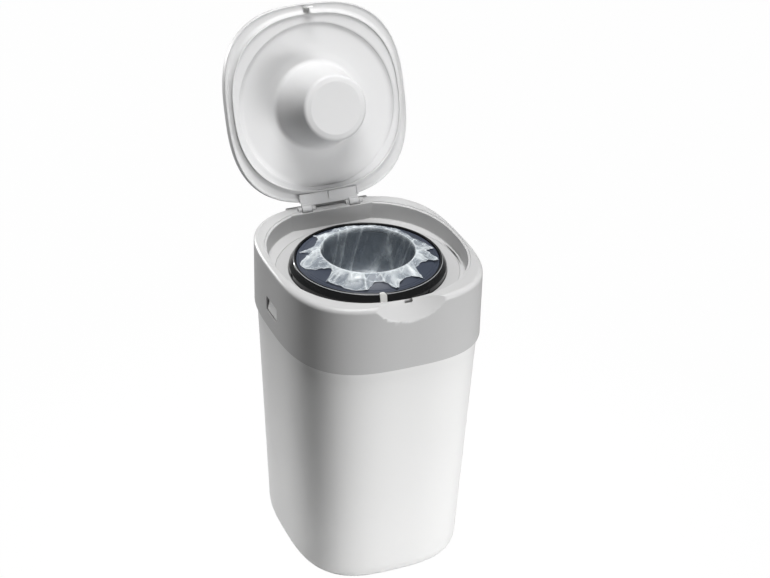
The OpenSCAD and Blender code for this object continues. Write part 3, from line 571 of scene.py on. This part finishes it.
def makeCollar():
    s = collarSizes
    rim, deck, under = s["rim"], s["deck"], s["deckUnder"]
    skirt, fillet = s["skirt"], s["fillet"]
    out, down = s["stepOut"], s["stepDown"]
    outer = [(s["wall"] - 0.5, skirt), (0.5, skirt), (0.12, skirt + 0.15), (0, skirt + 0.6)]
    outer += [(0, z) for z in range(308, 381, 6)]
    rings = [collarRing(*p) for p in outer]
    rings += [filletRing(fillet * (1 - math.cos(k * math.pi / 20)), 0.05 * (11 - k)) for k in range(11)]
    # the rim steps down once before the well
    well = [(-out, rim, 0), (1 - out, rim, 0.9), (1.6 - out, rim - down, 0.5), (-0.1, rim - down - 0.05, 0.9),
            (0.1, rim - 4, 0), (0.4, rim - 10, 0), (0.7, deck + 4, 0), (s["draft"], deck, 1.8), (3.5, deck, 0),
            (4.5, deck, 0)]
    rings += [stepRing(*p) for p in rounded(well)]
    plate, ledge = s["plateRadius"], s["ledgeRadius"]
    seat = [(plate + 2, deck, 0), (plate, deck, 0.15), (plate, under - 0.3, 0), (ledge, under - 0.3, 0.3),
            (ledge, under - s["ledge"], 0)]
    rings += [roundRing(*p) for p in rounded(seat)]
    rings += [wellRing(s["draft"] - s["wellWall"], under - s["ledge"]), wellRing(-s["wellWall"], s["roof"]),
              collarRing(s["neck"], s["roof"]), collarRing(s["neck"], s["shoulder"]),
              collarRing(s["wall"], s["shoulder"]), collarRing(s["wall"], 330),
              collarRing(s["wall"], skirt + 0.5)]
    return loft("collarShell", rings, closed=True)


def makeDishBall(extra):
    d, s = dishSizes, collarSizes
    middle = -s["depth"] + d["reach"] - math.sqrt(d["radius"] ** 2 - d["up"] ** 2)
    deselectAll()
    bpy.ops.mesh.primitive_uv_sphere_add(segments=160, ring_count=80, radius=(d["radius"] + extra) * mm)
    ball = bpy.context.active_object
    ball.data.transform(Matrix.Translation(Vector((0, middle, s["rim"] + d["up"])) * mm))
    return ball


def makeDishBack():
    # the lump behind the dish, sunk a little into the collar's own wall
    s, d = collarSizes, dishSizes
    fillet, sunk = s["fillet"], d["sunk"]
    crown = s["rim"] - d["crownDown"] - fillet
    outline = [(sunk, s["deck"] - 20), (sunk, s["rim"] - fillet - sunk)]
    outline += [(sunk + fillet * (1 - math.cos(a)), crown + fillet * math.sin(a))
                for a in (k * math.pi / 16 for k in range(1, 9))]
    back = loft("dishBack", [collarRing(*p) for p in outline])
    combine(back, makeDishBall(d["wall"]), 'INTERSECT')
    combine(back, addBox("inside", (-130, -s["wellDepth"] - 0.5, 330), (130, 140, 400)), 'DIFFERENCE')
    return back


def cutHinge(collar):
    # the ledge with its lugs, the slots for the knuckles, the bores for the pins and the hollow underneath
    h = hingeSizes
    base = collarSizes["deckUnder"] - collarSizes["ledge"]
    half, front, wall = h["ledgeHalf"], h["ledgeFront"], h["ledgeWall"]
    combine(collar, addBox("ledge", (-half, front, base), (half, h["y"] + h["back"], h["ledgeTop"]), 0.5), 'UNION')
    for x in (-h["knuckleX"], h["knuckleX"]):
        for side in (-1, 1):
            middle = x + side * (h["slotHalf"] + h["lug"] / 2)
            combine(collar, addRod("lug", (middle - h["lug"] / 2, h["y"], h["z"]),
                                   (middle + h["lug"] / 2, h["y"], h["z"]), h["lugRadius"]), 'UNION')
    for x in (-h["knuckleX"], h["knuckleX"]):
        combine(collar, addBox("slot", (x - h["slotHalf"], h["slotFront"], h["z"] - h["slotDown"]),
                               (x + h["slotHalf"], h["slotFront"] + h["slotLong"], h["z"] + h["slotUp"])),
                'DIFFERENCE')
        reach = h["slotHalf"] + h["lug"] + 1
        combine(collar, addRod("bore", (x - reach, h["y"], h["z"]), (x + reach, h["y"], h["z"]), h["pin"]),
                'DIFFERENCE')
    combine(collar, addBox("hollow", (wall - half, front + wall, base - 1),
                           (half - wall, front + wall + h["hollowLong"], base + h["hollowHigh"])), 'DIFFERENCE')


def finishCollar():
    w, c = windowSizes, catchSlot
    collar = makeCollar()
    cutHinge(collar)
    combine(collar, makeDishBack(), 'UNION')
    combine(collar, makeDishBall(0), 'DIFFERENCE')
    combine(collar, addBox("windows", (-130, -w["front"], w["low"]), (130, w["back"], w["high"]),
                           w["corner"]), 'DIFFERENCE')
    combine(collar, addBox("catchSlot", (-c["half"], c["front"], c["low"]), (c["half"], c["back"], c["high"]),
                           c["corner"]), 'DIFFERENCE')
    makeActive(collar)
    bpy.ops.object.mode_set(mode='EDIT')
    bpy.ops.mesh.select_all(action='SELECT')
    bpy.ops.mesh.remove_doubles(threshold=1e-5)
    bpy.ops.object.mode_set(mode='OBJECT')
    smoothShade(collar, 38)
    settle(collar, "top_unit", greyPlastic, "grey_plastic", "collar")


finishCollar()
print("collar made")

bezelSizes = {"foot": 92, "top": 87, "inner": 84.2, "height": 380, "step": 372, "skirt": 358, "wall": 2,
              "holeRadius": 60, "floorTop": 322.5, "floor": 320.5, "notches": 6, "notchStart": 55,
              "notchDeep": 1.2, "notchHalf": 4.5, "notchLow": 367, "notchHigh": 371.4}


def makeBezel():
    s = bezelSizes
    foot, top, inner, high, wall = s["foot"], s["top"], s["inner"], s["height"], s["wall"]
    # from the hole out under the floor, up inside the skirt, over the ridge and back down to the hole
    line = rounded([(s["holeRadius"], s["floor"], 0.3), (inner + wall, s["floor"], 0.6),
                    (inner + wall, high - 5.2, 0.8), (top + 0.6, high - 5.2, 0.6),
                    (foot - wall, s["step"] - 1, 0.8), (foot - wall, s["skirt"], 0.3),
                    (foot, s["skirt"], 0.4), (foot, s["step"], 1.6), (top + 0.9, high - 1.6, 1.6),
                    (top - 0.9, high, 1.3), (inner + 0.8, high, 0.8), (inner, high - 1.2, 0.6),
                    (inner, s["floorTop"], 0.5), (s["holeRadius"], s["floorTop"], 0.3)], closed=True)
    bezel = loft("bezelRing", [roundRing(*p) for p in line], closed=True)
    for i in range(s["notches"]):
        notch = addBox("notch", (foot - s["notchDeep"], -s["notchHalf"], s["notchLow"]),
                       (foot + 3, s["notchHalf"], s["notchHigh"]), 0.8)
        turn = math.radians(s["notchStart"] + i * 360 / s["notches"])
        notch.data.transform(Matrix.Translation((0, axisY * mm, 0)) @ Matrix.Rotation(turn, 4, 'Z'))
        combine(bezel, notch, 'DIFFERENCE')
    smoothShade(bezel, 40)
    settle(bezel, "turntable", bezelPlastic, "black_plastic", "turntable")


coverSizes = {"outer": 83.4, "edge": 374.3, "top": 378, "rise": 11, "lip": 56, "wall": 1.7,
              "grooves": (2.6, 5.2), "groove": 0.5,
              # the slope from the outer edge to the lip, as shares of the way in and of the rise
              "slope": ((0, 0), (0.03, 0.015), (0.25, 0.18), (0.5, 0.45), (0.73, 0.76), (0.88, 0.93),
                        (0.95, 0.99), (1, 1))}


def coverHeight(radius):
    s = coverSizes
    part = (s["outer"] - radius) / (s["outer"] - s["lip"])
    for (a, b), (c, d) in zip(s["slope"], s["slope"][1:]):
        if part <= c:
            return s["top"] + s["rise"] * (b + (d - b) * max(0, part - a) / (c - a))
    return s["top"] + s["rise"]


def makeCover():
    s = coverSizes
    outer, lip, wall, groove = s["outer"], s["lip"], s["wall"], s["groove"]
    top = s["top"] + s["rise"]
    slope = [(outer, s["edge"], 0), (outer, s["top"] - 0.2, 0.6), (outer - 1.6, s["top"] + 0.1, 0.4)]
    # two fine grooves run round near the outer edge
    for radius in (outer - x for x in s["grooves"]):
        slope += [(radius + groove, coverHeight(radius + groove), 0.25),
                  (radius, coverHeight(radius) - groove, 0.25),
                  (radius - groove, coverHeight(radius - groove), 0.25)]
    slope += [(outer - x, coverHeight(outer - x), 1.5) for x in (8, 11, 14, 17, 20, 23, 25.5)]
    # over the lip, and back under the slope
    slope += [(lip + 0.2, top - 0.1, 0.6), (lip, top - 1.2, 0.4), (lip, top - 3.7, 0.2),
              (lip + 1.2, top - 3.7, 0.2), (lip + 1.2, top - wall - 0.1, 0.3)]
    slope += [(outer - x, coverHeight(outer - x) - wall, 0.8) for x in (23, 17, 11, 6)]
    slope += [(outer - wall, s["top"] - wall - 0.2, 0.3), (outer - wall, s["edge"], 0)]
    cover = loft("cassetteLid", [roundRing(*p) for p in rounded(slope, 3)], closed=True)
    smoothShade(cover, 40)
    settle(cover, "cassette", cassettePlastic, "cassette_plastic", "cassette_cover")


makeBezel()
makeCover()
print("turntable and cassette made")

filmSizes = {"wallRadius": 55.2, "lipTop": 389.9, "foot": 314.7, "tail": 5.5, "knot": 7.2, "steps": 384,
             "spread": 32, "thickness": 0.12, "twist": 0.4, "nearest": 57.6, "farthest": 82.6, "lean": 9,
             "pleats": 28, "pleatDepth": 4.5, "pleatShare": 0.55, "pleatsFrom": 0.62, "plungerClear": (22, 34),
             # the tube laid flat, in metres: round it, from the knot to the longest tip, and what the tear leaves
             "around": 0.34, "long": 0.179, "leftArea": 0.0563,
             # the torn edge: bearing in degrees and reach, tips and gaps in turn
             "torn": ((-3, 74), (1, 81), (4, 74), (8, 64), (16, 61), (26, 63), (34, 66), (42, 62), (52, 60),
                      (62, 63), (70, 60), (80, 59.5), (87, 66), (91, 74), (96, 70), (104, 64), (112, 65),
                      (117, 71), (120, 80), (124, 71), (131, 65.5), (138, 63), (144, 63.5), (148, 72),
                      (151.5, 80), (155, 76), (160, 69), (166, 68), (172, 72), (177, 80.5), (183, 79),
                      (188, 73), (193, 67), (199, 62.2), (204, 63), (206, 72), (208, 80), (212, 80.5),
                      (217, 77), (224, 77.5), (232, 79.5), (239, 80), (245, 80.5), (248, 74), (252, 69),
                      (257, 68), (261, 71), (264, 78), (268, 81), (274, 80.5), (278, 74), (283, 70.5),
                      (288, 70.5), (294, 76), (300, 81.5), (303, 78), (307, 70), (311, 64), (316, 65),
                      (322, 71), (327, 79), (331, 82), (335, 81), (338, 73), (342, 69), (350, 69.5),
                      (353, 70))}


def unevenAt(angle, scale, layer, shift=0.0):
    # a soft random value from -1 to 1 that runs round without a seam
    return noise.noise(Vector((math.cos(angle) * scale + shift, math.sin(angle) * scale, layer)))


def crease(angle, scale, layer, shift=0.0):
    # 1 along the line of a crease, falling away on both sides
    return max(0.0, 1 - abs(unevenAt(angle, scale, layer, shift)) * 2.6)


def within(value, low=0.0, high=1.0):
    return min(high, max(low, value))


def petalEdge(angle):
    # how far the film reaches at this angle, and how much it leans there
    s = filmSizes
    bearing = (math.degrees(angle) + 3) % 360 - 3
    torn = s["torn"] + ((s["torn"][0][0] + 360, s["torn"][0][1]),)
    reach = torn[0][1]
    for (a, near), (b, far) in zip(torn, torn[1:]):
        if a <= bearing <= b:
            part = (bearing - a) / (b - a)
            reach = near + (far - near) * (3 * part ** 2 - 2 * part ** 3)
    reach += 1.2 * unevenAt(angle, 14, 2.1) + 0.7 * unevenAt(angle, 34, 5.1)
    return within(reach, s["nearest"], s["farthest"]), unevenAt(angle, 3.2, 6.4) * 1.6


def placeTube(radius, height, angle):
    # soft folds hang down the core, twist a little and gather at the clamp
    s = filmSizes
    depth = within((s["lipTop"] - height) / (s["lipTop"] - s["foot"]))
    turned = angle - s["twist"] * depth
    fold = crease(turned, 1.9, height * 0.005)
    fine = crease(turned, 4.5, height * 0.008 + 4)
    room = min(1, radius / 25) * min(1, depth * 8 + 0.15)
    radius -= room * (0.3 + (0.8 + 1.6 * depth) * fold ** 2 + 0.5 * fine ** 2)
    # below the core the tube is gathered in pleats, which go inwards and leave out where the plunger comes
    gathered = within((depth - s["pleatsFrom"]) / 0.3)
    pleat = 0.5 + 0.5 * math.cos(s["pleats"] * turned + 2.5 * unevenAt(turned, 1.5, 9.7))
    near, far = s["plungerClear"]
    spare = 1 - within((radius - near) / (far - near))
    radius -= gathered * pleat * spare * min(s["pleatDepth"], s["pleatShare"] * radius)
    milk = (0.2 + 0.3 * fold ** 8 + 0.16 * fine ** 12 + 0.4 * max(0, 1 - depth * 18)
            + 0.3 * max(0, depth - 0.8))
    return Vector((radius * math.cos(angle), radius * math.sin(angle), height)), milk


def placePetal(part, angle):
    # part goes from 0 at the lip to 1 at the torn edge
    s, lip = filmSizes, coverSizes["lip"]
    far, lean = petalEdge(angle)
    start = s["wallRadius"] + 0.3
    radius = start + (far - start) * part
    long = min(1, (far - start) / 16)
    fold = crease(angle, 4.2, part * 0.7 + 2)
    fine = crease(angle, 8, part * 1.1 + 7, part * 1.2)
    cross = crease(angle, radius * 0.05, 3.3)
    lift = 1.7 * fold ** 2 + 0.8 * fine ** 2 + 0.7 * cross ** 3
    lift = 0.5 + min(1, part * 4) * lift * (0.5 + 0.5 * long)
    curl = max(0, part - 0.8) / 0.2
    lift += curl ** 2 * long * 1.8 * (0.35 + unevenAt(angle, 8, 5.5))
    height = coverHeight(max(radius, lip)) + max(0.35, lift)
    if radius < lip + 2:
        height = min(height, 391.0)
    bent = angle + math.radians(s["lean"]) * lean * part ** 2
    patch = 0.5 + 0.9 * unevenAt(angle, radius * 0.045, 8.8)
    milk = 0.14 + 0.4 * patch + 0.42 * fold ** 5 + 0.3 * fine ** 8 + 0.24 * cross ** 8
    milk += (0.15 + 0.2 * long) * max(0, part - 0.92) / 0.08 + 0.3 * max(0, 1 - part * 7)
    return Vector((radius * math.cos(bent), radius * math.sin(bent), height)), milk


def makeFilm():
    s = filmSizes
    foot, wall, knot, tail, spread = s["foot"], s["wallRadius"], s["knot"], s["tail"], s["spread"]
    # up from the knot through the clamp and along the core
    line = smoothLine([(1.2, foot - 44), (knot, foot - 40), (knot, foot - 34), (tail, foot - 30),
                       (tail - 1, foot - 22), (tail + 1, foot - 9), (14, foot + 2), (30, foot + 9),
                       (47, foot + 17), (wall - 1.5, foot + 24), (wall - 1, foot + 40), (wall - 0.8, foot + 56),
                       (wall - 0.7, foot + 70), (wall + 0.2, s["lipTop"])])
    deselectAll()
    bpy.ops.mesh.primitive_circle_add(vertices=s["steps"], radius=line[0][0] * mm)
    film = bpy.context.active_object
    film.name = film.data.name = "film"
    bpy.ops.object.mode_set(mode='EDIT')
    bpy.ops.mesh.select_mode(type='VERT')
    bpy.ops.mesh.select_all(action='SELECT')
    milkOf, angleOf = {}, {}
    for row in range(len(line) + spread):
        if row:
            bpy.ops.mesh.extrude_edges_move()
        mesh = bmesh.from_edit_mesh(film.data)
        mesh.verts.index_update()
        for vert in [v for v in mesh.verts if v.select]:
            if row:
                below = [e.other_vert(vert) for e in vert.link_edges if not e.other_vert(vert).select][0]
                angle = angleOf[below.index]
            else:
                angle = math.atan2(vert.co.y, vert.co.x)
            angleOf[vert.index] = angle
            if row < len(line):
                spot, milk = placeTube(*line[row], angle)
            else:
                spot, milk = placePetal((row - len(line) + 1) / spread, angle)
            milkOf[vert.index] = milk
            vert.co = Vector((spot.x, spot.y + axisY, spot.z)) * mm
        bmesh.update_edit_mesh(film.data)
    bpy.ops.mesh.select_all(action='SELECT')
    bpy.ops.mesh.normals_make_consistent(inside=False)
    bpy.ops.object.mode_set(mode='OBJECT')
    milky = film.data.attributes.new("milk", 'FLOAT', 'POINT')
    for vert in film.data.vertices:
        milky.data[vert.index].value = within(milkOf[vert.index])
    applyModifier(film, 'SOLIDIFY', thickness=s["thickness"] * mm, offset=0.0)
    makeActive(film)
    bpy.ops.object.shade_smooth()
    settle(film, "cassette", linerFilm, "film", "film_sleeve")


makeFilm()
print("film made")

lidSizes = {"width": 114, "depth": 118.4, "exponent": 2.75, "middle": -7, "edge": 390, "edgeHeight": 9,
            "crown": 14.6, "wall": 2.4, "open": 110}
sealSizes = {"width": 106.5, "depth": 106.8, "exponent": 2.4, "middle": -7.4, "lip": 2.2, "low": 387.2,
             "high": 391.2}
discSizes = {"recess": 97.7, "gap": 0.3, "floor": 395, "base": 51, "tip": 38, "tipHeight": 327, "wall": 2.2,
             "land": 2.8}
webSizes = {"near": 19, "far": 25, "front": 109.4, "back": 114, "low": 387.95, "high": 389.9}
# from shut, as it is drawn, to open
swing = (Matrix.Translation(Vector((0, hingeSizes["y"], hingeSizes["z"])) * mm)
         @ Matrix.Rotation(math.radians(-lidSizes["open"]), 4, 'X')
         @ Matrix.Translation(Vector((0, -hingeSizes["y"], -hingeSizes["z"])) * mm))


def lidRing(inset, rise):
    s = lidSizes
    return (s["width"] - inset, s["depth"] - inset, s["exponent"], s["edge"] + rise, s["middle"])


def sealRing(inset, height):
    s = sealSizes
    return (s["width"] - inset, s["depth"] - inset, s["exponent"], height, s["middle"])


def makeLidShell():
    s = lidSizes
    e, c, w = s["edgeHeight"], s["crown"], s["wall"]
    outside = smoothLine([(0, 2.2), (0, e - 2), (0.15, e + 0.5), (1, e + c * 0.22), (3.6, e + c * 0.41),
                          (9, e + c * 0.6), (20, e + c * 0.78), (40, e + c * 0.93), (70, e + c)], 4)
    inside = [(w + x, rise - w * (0.3 + 0.7 * min(1, x / 10))) for x, rise in outside[4:-1]]
    lip = [(w, e - 2), (w, 1.9), (w, 1.1), (w - 0.2, 0.55), (w - 0.7, 0.15), (1.3, 0), (0.8, 0.15), (0.32, 0.65),
           (0.08, 1.4)]
    line = [(70, e + c - w)] + inside[::-1] + lip + outside
    shell = loft("lidShell", [lidRing(*p) for p in line])
    shell.data.transform(swing)
    smoothShade(shell, 50)
    settle(shell, "lid", lidPlastic, "liner_plastic", "lid_shell")


def makeLiner():
    wall, edge = lidSizes["wall"], lidSizes["edge"]
    recess, top = discSizes["recess"], discSizes["floor"] + 2
    # a shallow channel runs inside the shell's edge and rises to the seal
    rings = [lidRing(*p) for p in ((wall - 0.9, 3.2), (wall - 0.9, 0.6), (wall - 0.35, 0.5), (wall + 0.2, 0.75),
                                   (wall + 1.2, 1.15), (wall + 2.4, 1.4))]
    rings += [sealRing(inset, edge + rise) for inset, rise in
              ((-5, 1.5), (-3.6, 1.25), (-2.2, 0.6), (-1, -0.3), (-0.3, -0.75), (0.1, -0.95), (0.1, 2.4),
               (2.1, 2.4), (2.1, -1.1), (2.8, -1), (4.2, -0.7), (6, -0.5))]
    # the land turns softly down into the recess, and the disc carries the slope on
    rings += [roundRing(recess + out, edge + rise) for out, rise in
              ((3.4, -0.5), (2.2, -0.42), (1.1, -0.1), (0.4, 0.4), (0.05, 0.85), (0, 1.5))]
    rings += [roundRing(recess + out, height) for out, height in
              ((0, top), (-5, top), (-5, top + 1.4), (2.2, top + 1.4), (2.2, edge + 3))]
    liner = loft("lidLiner", rings, closed=True)
    combine(liner, addBox("leafRoom", (-32, 101.6, 389.99), (32, 111.4, 396)), 'DIFFERENCE')
    liner.data.transform(swing)
    smoothShade(liner, 40)
    settle(liner, "lid", linerPlastic, "liner_plastic", "lid_liner")


def makePlunger():
    d = discSizes
    floor, base, tip, low, wall = d["floor"], d["base"], d["tip"], d["tipHeight"], d["wall"]
    rim = d["recess"] - d["gap"]
    edge, land = lidSizes["edge"], lidSizes["edge"] + d["land"]
    front = smoothLine([(rim + 0.5, edge + 1.0), (rim - 0.3, edge + 1.25), (rim - 1.4, edge + 1.8),
                        (rim - 2.8, edge + 2.35), (rim - 4.6, edge + 2.7), (rim - 8, land), (rim - 22, land),
                        (base + 14, land)], 3)
    front += rounded([(base + 12, floor - 2.2, 0), (base + 0.6, floor - 2.8, 6.5), (tip + 0.9, low + 2, 5.5),
                      (tip - 7, low, 4), (tip - 20, low, 0)], 9)
    back = [(tip - 20, low + wall), (tip - 5, low + wall), (tip - 2.4, low + wall + 1.6),
            (tip - 1.3, low + wall + 4.6), (base - 3.2, floor - 10.6), (base - 1.8, floor - 6),
            (base + 0.8, floor - 2.2), (base + 4.4, floor - 0.5), (base + 9, floor + 0.1), (rim - 22, floor),
            (rim - 8, floor + 0.7), (rim, floor + 1.7)]
    # the loft runs from the middle of the back, out to the rim and down the front
    plunger = loft("plunger", [roundRing(*p) for p in back + front])
    plunger.data.transform(swing)
    smoothShade(plunger, 50)
    settle(plunger, "lid", linerPlastic, "liner_plastic", "lid_plunger")


def makeSeal():
    s = sealSizes
    lip, low, high = s["lip"], s["low"], s["high"]
    line = rounded([(0, high, 0.3), (0, low, 1.05), (lip, low, 1.05), (lip, high, 0.3)], 6, closed=True)
    seal = loft("lidSeal", [sealRing(*p) for p in line], closed=True)
    seal.data.transform(swing)
    smoothShade(seal, 50)
    settle(seal, "lid", sealRubber, "seal_rubber", "lid_seal")


def makeLeaf():
    # two webs carry the plate on beside the knuckles, clear of the collar's lugs
    s = webSizes
    leaf = takeNode("hingeLeaf", "hinge_leaf", 0.25)
    for left, right in ((-s["far"], -s["near"]), (s["near"], s["far"])):
        web = addBox("web", (left, s["front"], s["low"]), (right, s["back"], s["high"]))
        web.data.transform(swing)
        combine(leaf, web, 'UNION')
    smoothShade(leaf)
    return leaf


def makeTab():
    # the tab's top is a half round
    tab = takeNode("tabClip", "index_tab", 0.3)
    low, high = ([side(v.co[i] for v in tab.data.vertices) / mm for i in range(3)] for side in (min, max))
    middle, half = (low[0] + high[0]) / 2, (high[0] - low[0]) / 2
    shoulder = high[2] - half
    dome = addRod("dome", (middle, low[1] - 1, shoulder), (middle, high[1] + 1, shoulder), half)
    combine(dome, addBox("stem", (low[0] - 1, low[1] - 0.9, low[2] - 1), (high[0] + 1, high[1] + 0.9, shoulder)),
            'UNION')
    combine(tab, dome, 'INTERSECT')
    smoothShade(tab)
    return tab


makeLidShell()
makeLiner()
makePlunger()
makeSeal()
settle(takeNode("lidHook", "lid_catch", 0.9, 4), "lid", catchPlastic, "liner_plastic", "lid_catch")
settle(makeLeaf(), "lid", linerPlastic, "liner_plastic", "hinge_leaf")
settle(makeTab(), "turntable", tabPlastic, "tab_plastic", "index_tab")
for name, side in (("tongueLeft", "left"), ("tongueRight", "right")):
    settle(takeNode(name, "release_tongue_" + side, 0.5), side + "_tongue", whitePlastic, "white_plastic",
           "release_tongue_" + side)
print("lid made")

# the nodes that stay as they are take a finish only
keptFinishes = {"foot_pads": footRubber, "deck_plate": palePlastic, "cassette_housing": palePlastic,
                "deck_screws": screwSteel, "clamp_screws": screwSteel, "hinge_pins": pinSteel,
                "film_clamp": clampPlastic, "clamp_retainer": greyPlastic, "click_springs": whitePlastic,
                "ratchet_ring": blackPlastic, "cassette_cup": cassettePlastic, "film_pack": packedFilm}
for nodeName, finish in keptFinishes.items():
    kept = nodes[nodeName]
    kept.data.materials.clear()
    kept.data.materials.append(finish)
print("kept nodes finished")

studio = {"floorSize": 14, "floorDown": 0.0004, "floorWhite": 0.97, "ambient": 0.02, "gleam": 0.2,
          # the lit floor: (distance from the bin, tone)
          "nearFloor": (0.2, 0.68), "farFloor": (0.6, 0.1)}
# bearing, height and spread in degrees; aim is the height above the floor that a softbox points at
softboxes = {"keyBox": {"bearing": -60, "height": 3, "distance": 1.7, "aim": 0.22, "size": (1.0, 0.5),
                        "power": 3.2, "spread": 62},
             "leftBox": {"bearing": 118, "height": 8, "distance": 2.4, "aim": 0.23, "size": (0.8, 0.7),
                         "power": 37, "spread": 180},
             "topBox": {"bearing": -90, "height": 86, "distance": 2.2, "aim": 0.5, "size": (1.3, 1.3),
                        "power": 67, "spread": 180}}


def addSoftbox(name, box):
    bearing, height = math.radians(box["bearing"]), math.radians(box["height"])
    aim = Vector((0, 0, box["aim"]))
    place = aim + box["distance"] * Vector((math.cos(bearing) * math.cos(height),
                                            math.sin(bearing) * math.cos(height), math.sin(height)))
    data = bpy.data.lights.new(name, 'AREA')
    data.shape = 'RECTANGLE'
    data.size, data.size_y = box["size"]
    data.energy = box["power"]
    data.spread = math.radians(box["spread"])
    holder = bpy.data.objects.new(name, data)
    holder.location = place
    holder.rotation_euler = (aim - place).to_track_quat('-Z', 'Y').to_euler()
    bpy.context.collection.objects.link(holder)


def seenWhite(tree):
    # 1 where the camera looks at the background or through something at it, less in a reflection
    seen = tree.nodes.new("ShaderNodeLightPath")
    gleam = mathOf(tree, 'MULTIPLY', seen.outputs["Is Glossy Ray"], studio["gleam"])
    direct = mathOf(tree, 'ADD', seen.outputs["Is Camera Ray"], seen.outputs["Is Transmission Ray"])
    return mathOf(tree, 'ADD', direct, gleam, clamp=True)


def makeFloor():
    deselectAll()
    bpy.ops.mesh.primitive_grid_add(x_subdivisions=8, y_subdivisions=8, size=studio["floorSize"])
    floor = bpy.context.active_object
    floor.name = "studioFloor"
    floor.data.transform(Matrix.Translation((0, 0, -studio["floorDown"])))
    material, tree, shader = newMaterial("studioFloor")
    link = tree.links.new
    tree.nodes.remove(shader)
    matte = tree.nodes.new("ShaderNodeBsdfDiffuse")
    # the lit floor fades away from the bin, so that it bounces light on its foot more than on its collar
    away = addNode(tree, "ShaderNodeVectorMath", operation='LENGTH')
    link(placeCoords(tree), away.inputs[0])
    near, far = ((reach, (tone, tone, tone)) for reach, tone in (studio["nearFloor"], studio["farFloor"]))
    link(toneRamp(tree, away.outputs["Value"], near, far), matte.inputs["Color"])
    white = addNode(tree, "ShaderNodeEmission", Color=(1, 1, 1, 1), Strength=1.02)
    mix = tree.nodes.new("ShaderNodeMixShader")
    link(mathOf(tree, 'MULTIPLY', seenWhite(tree), studio["floorWhite"]), mix.inputs["Fac"])
    link(matte.outputs["BSDF"], mix.inputs[1])
    link(white.outputs["Emission"], mix.inputs[2])
    link(mix.outputs["Shader"], tree.nodes["Material Output"].inputs["Surface"])
    floor.data.materials.append(material)


def makeWorld():
    world = bpy.data.worlds.new("studioWorld")
    bpy.context.scene.world = world
    world.use_nodes = True
    tree = world.node_tree
    back = tree.nodes["Background"]
    back.inputs["Color"].default_value = (1, 1, 1, 1)
    tree.links.new(ranged(tree, seenWhite(tree), studio["ambient"], 1.0), back.inputs["Strength"])


makeFloor()
makeWorld()
for boxName, box in softboxes.items():
    addSoftbox(boxName, box)
bpy.context.scene.view_settings.view_transform = 'Standard'
print("studio lit")
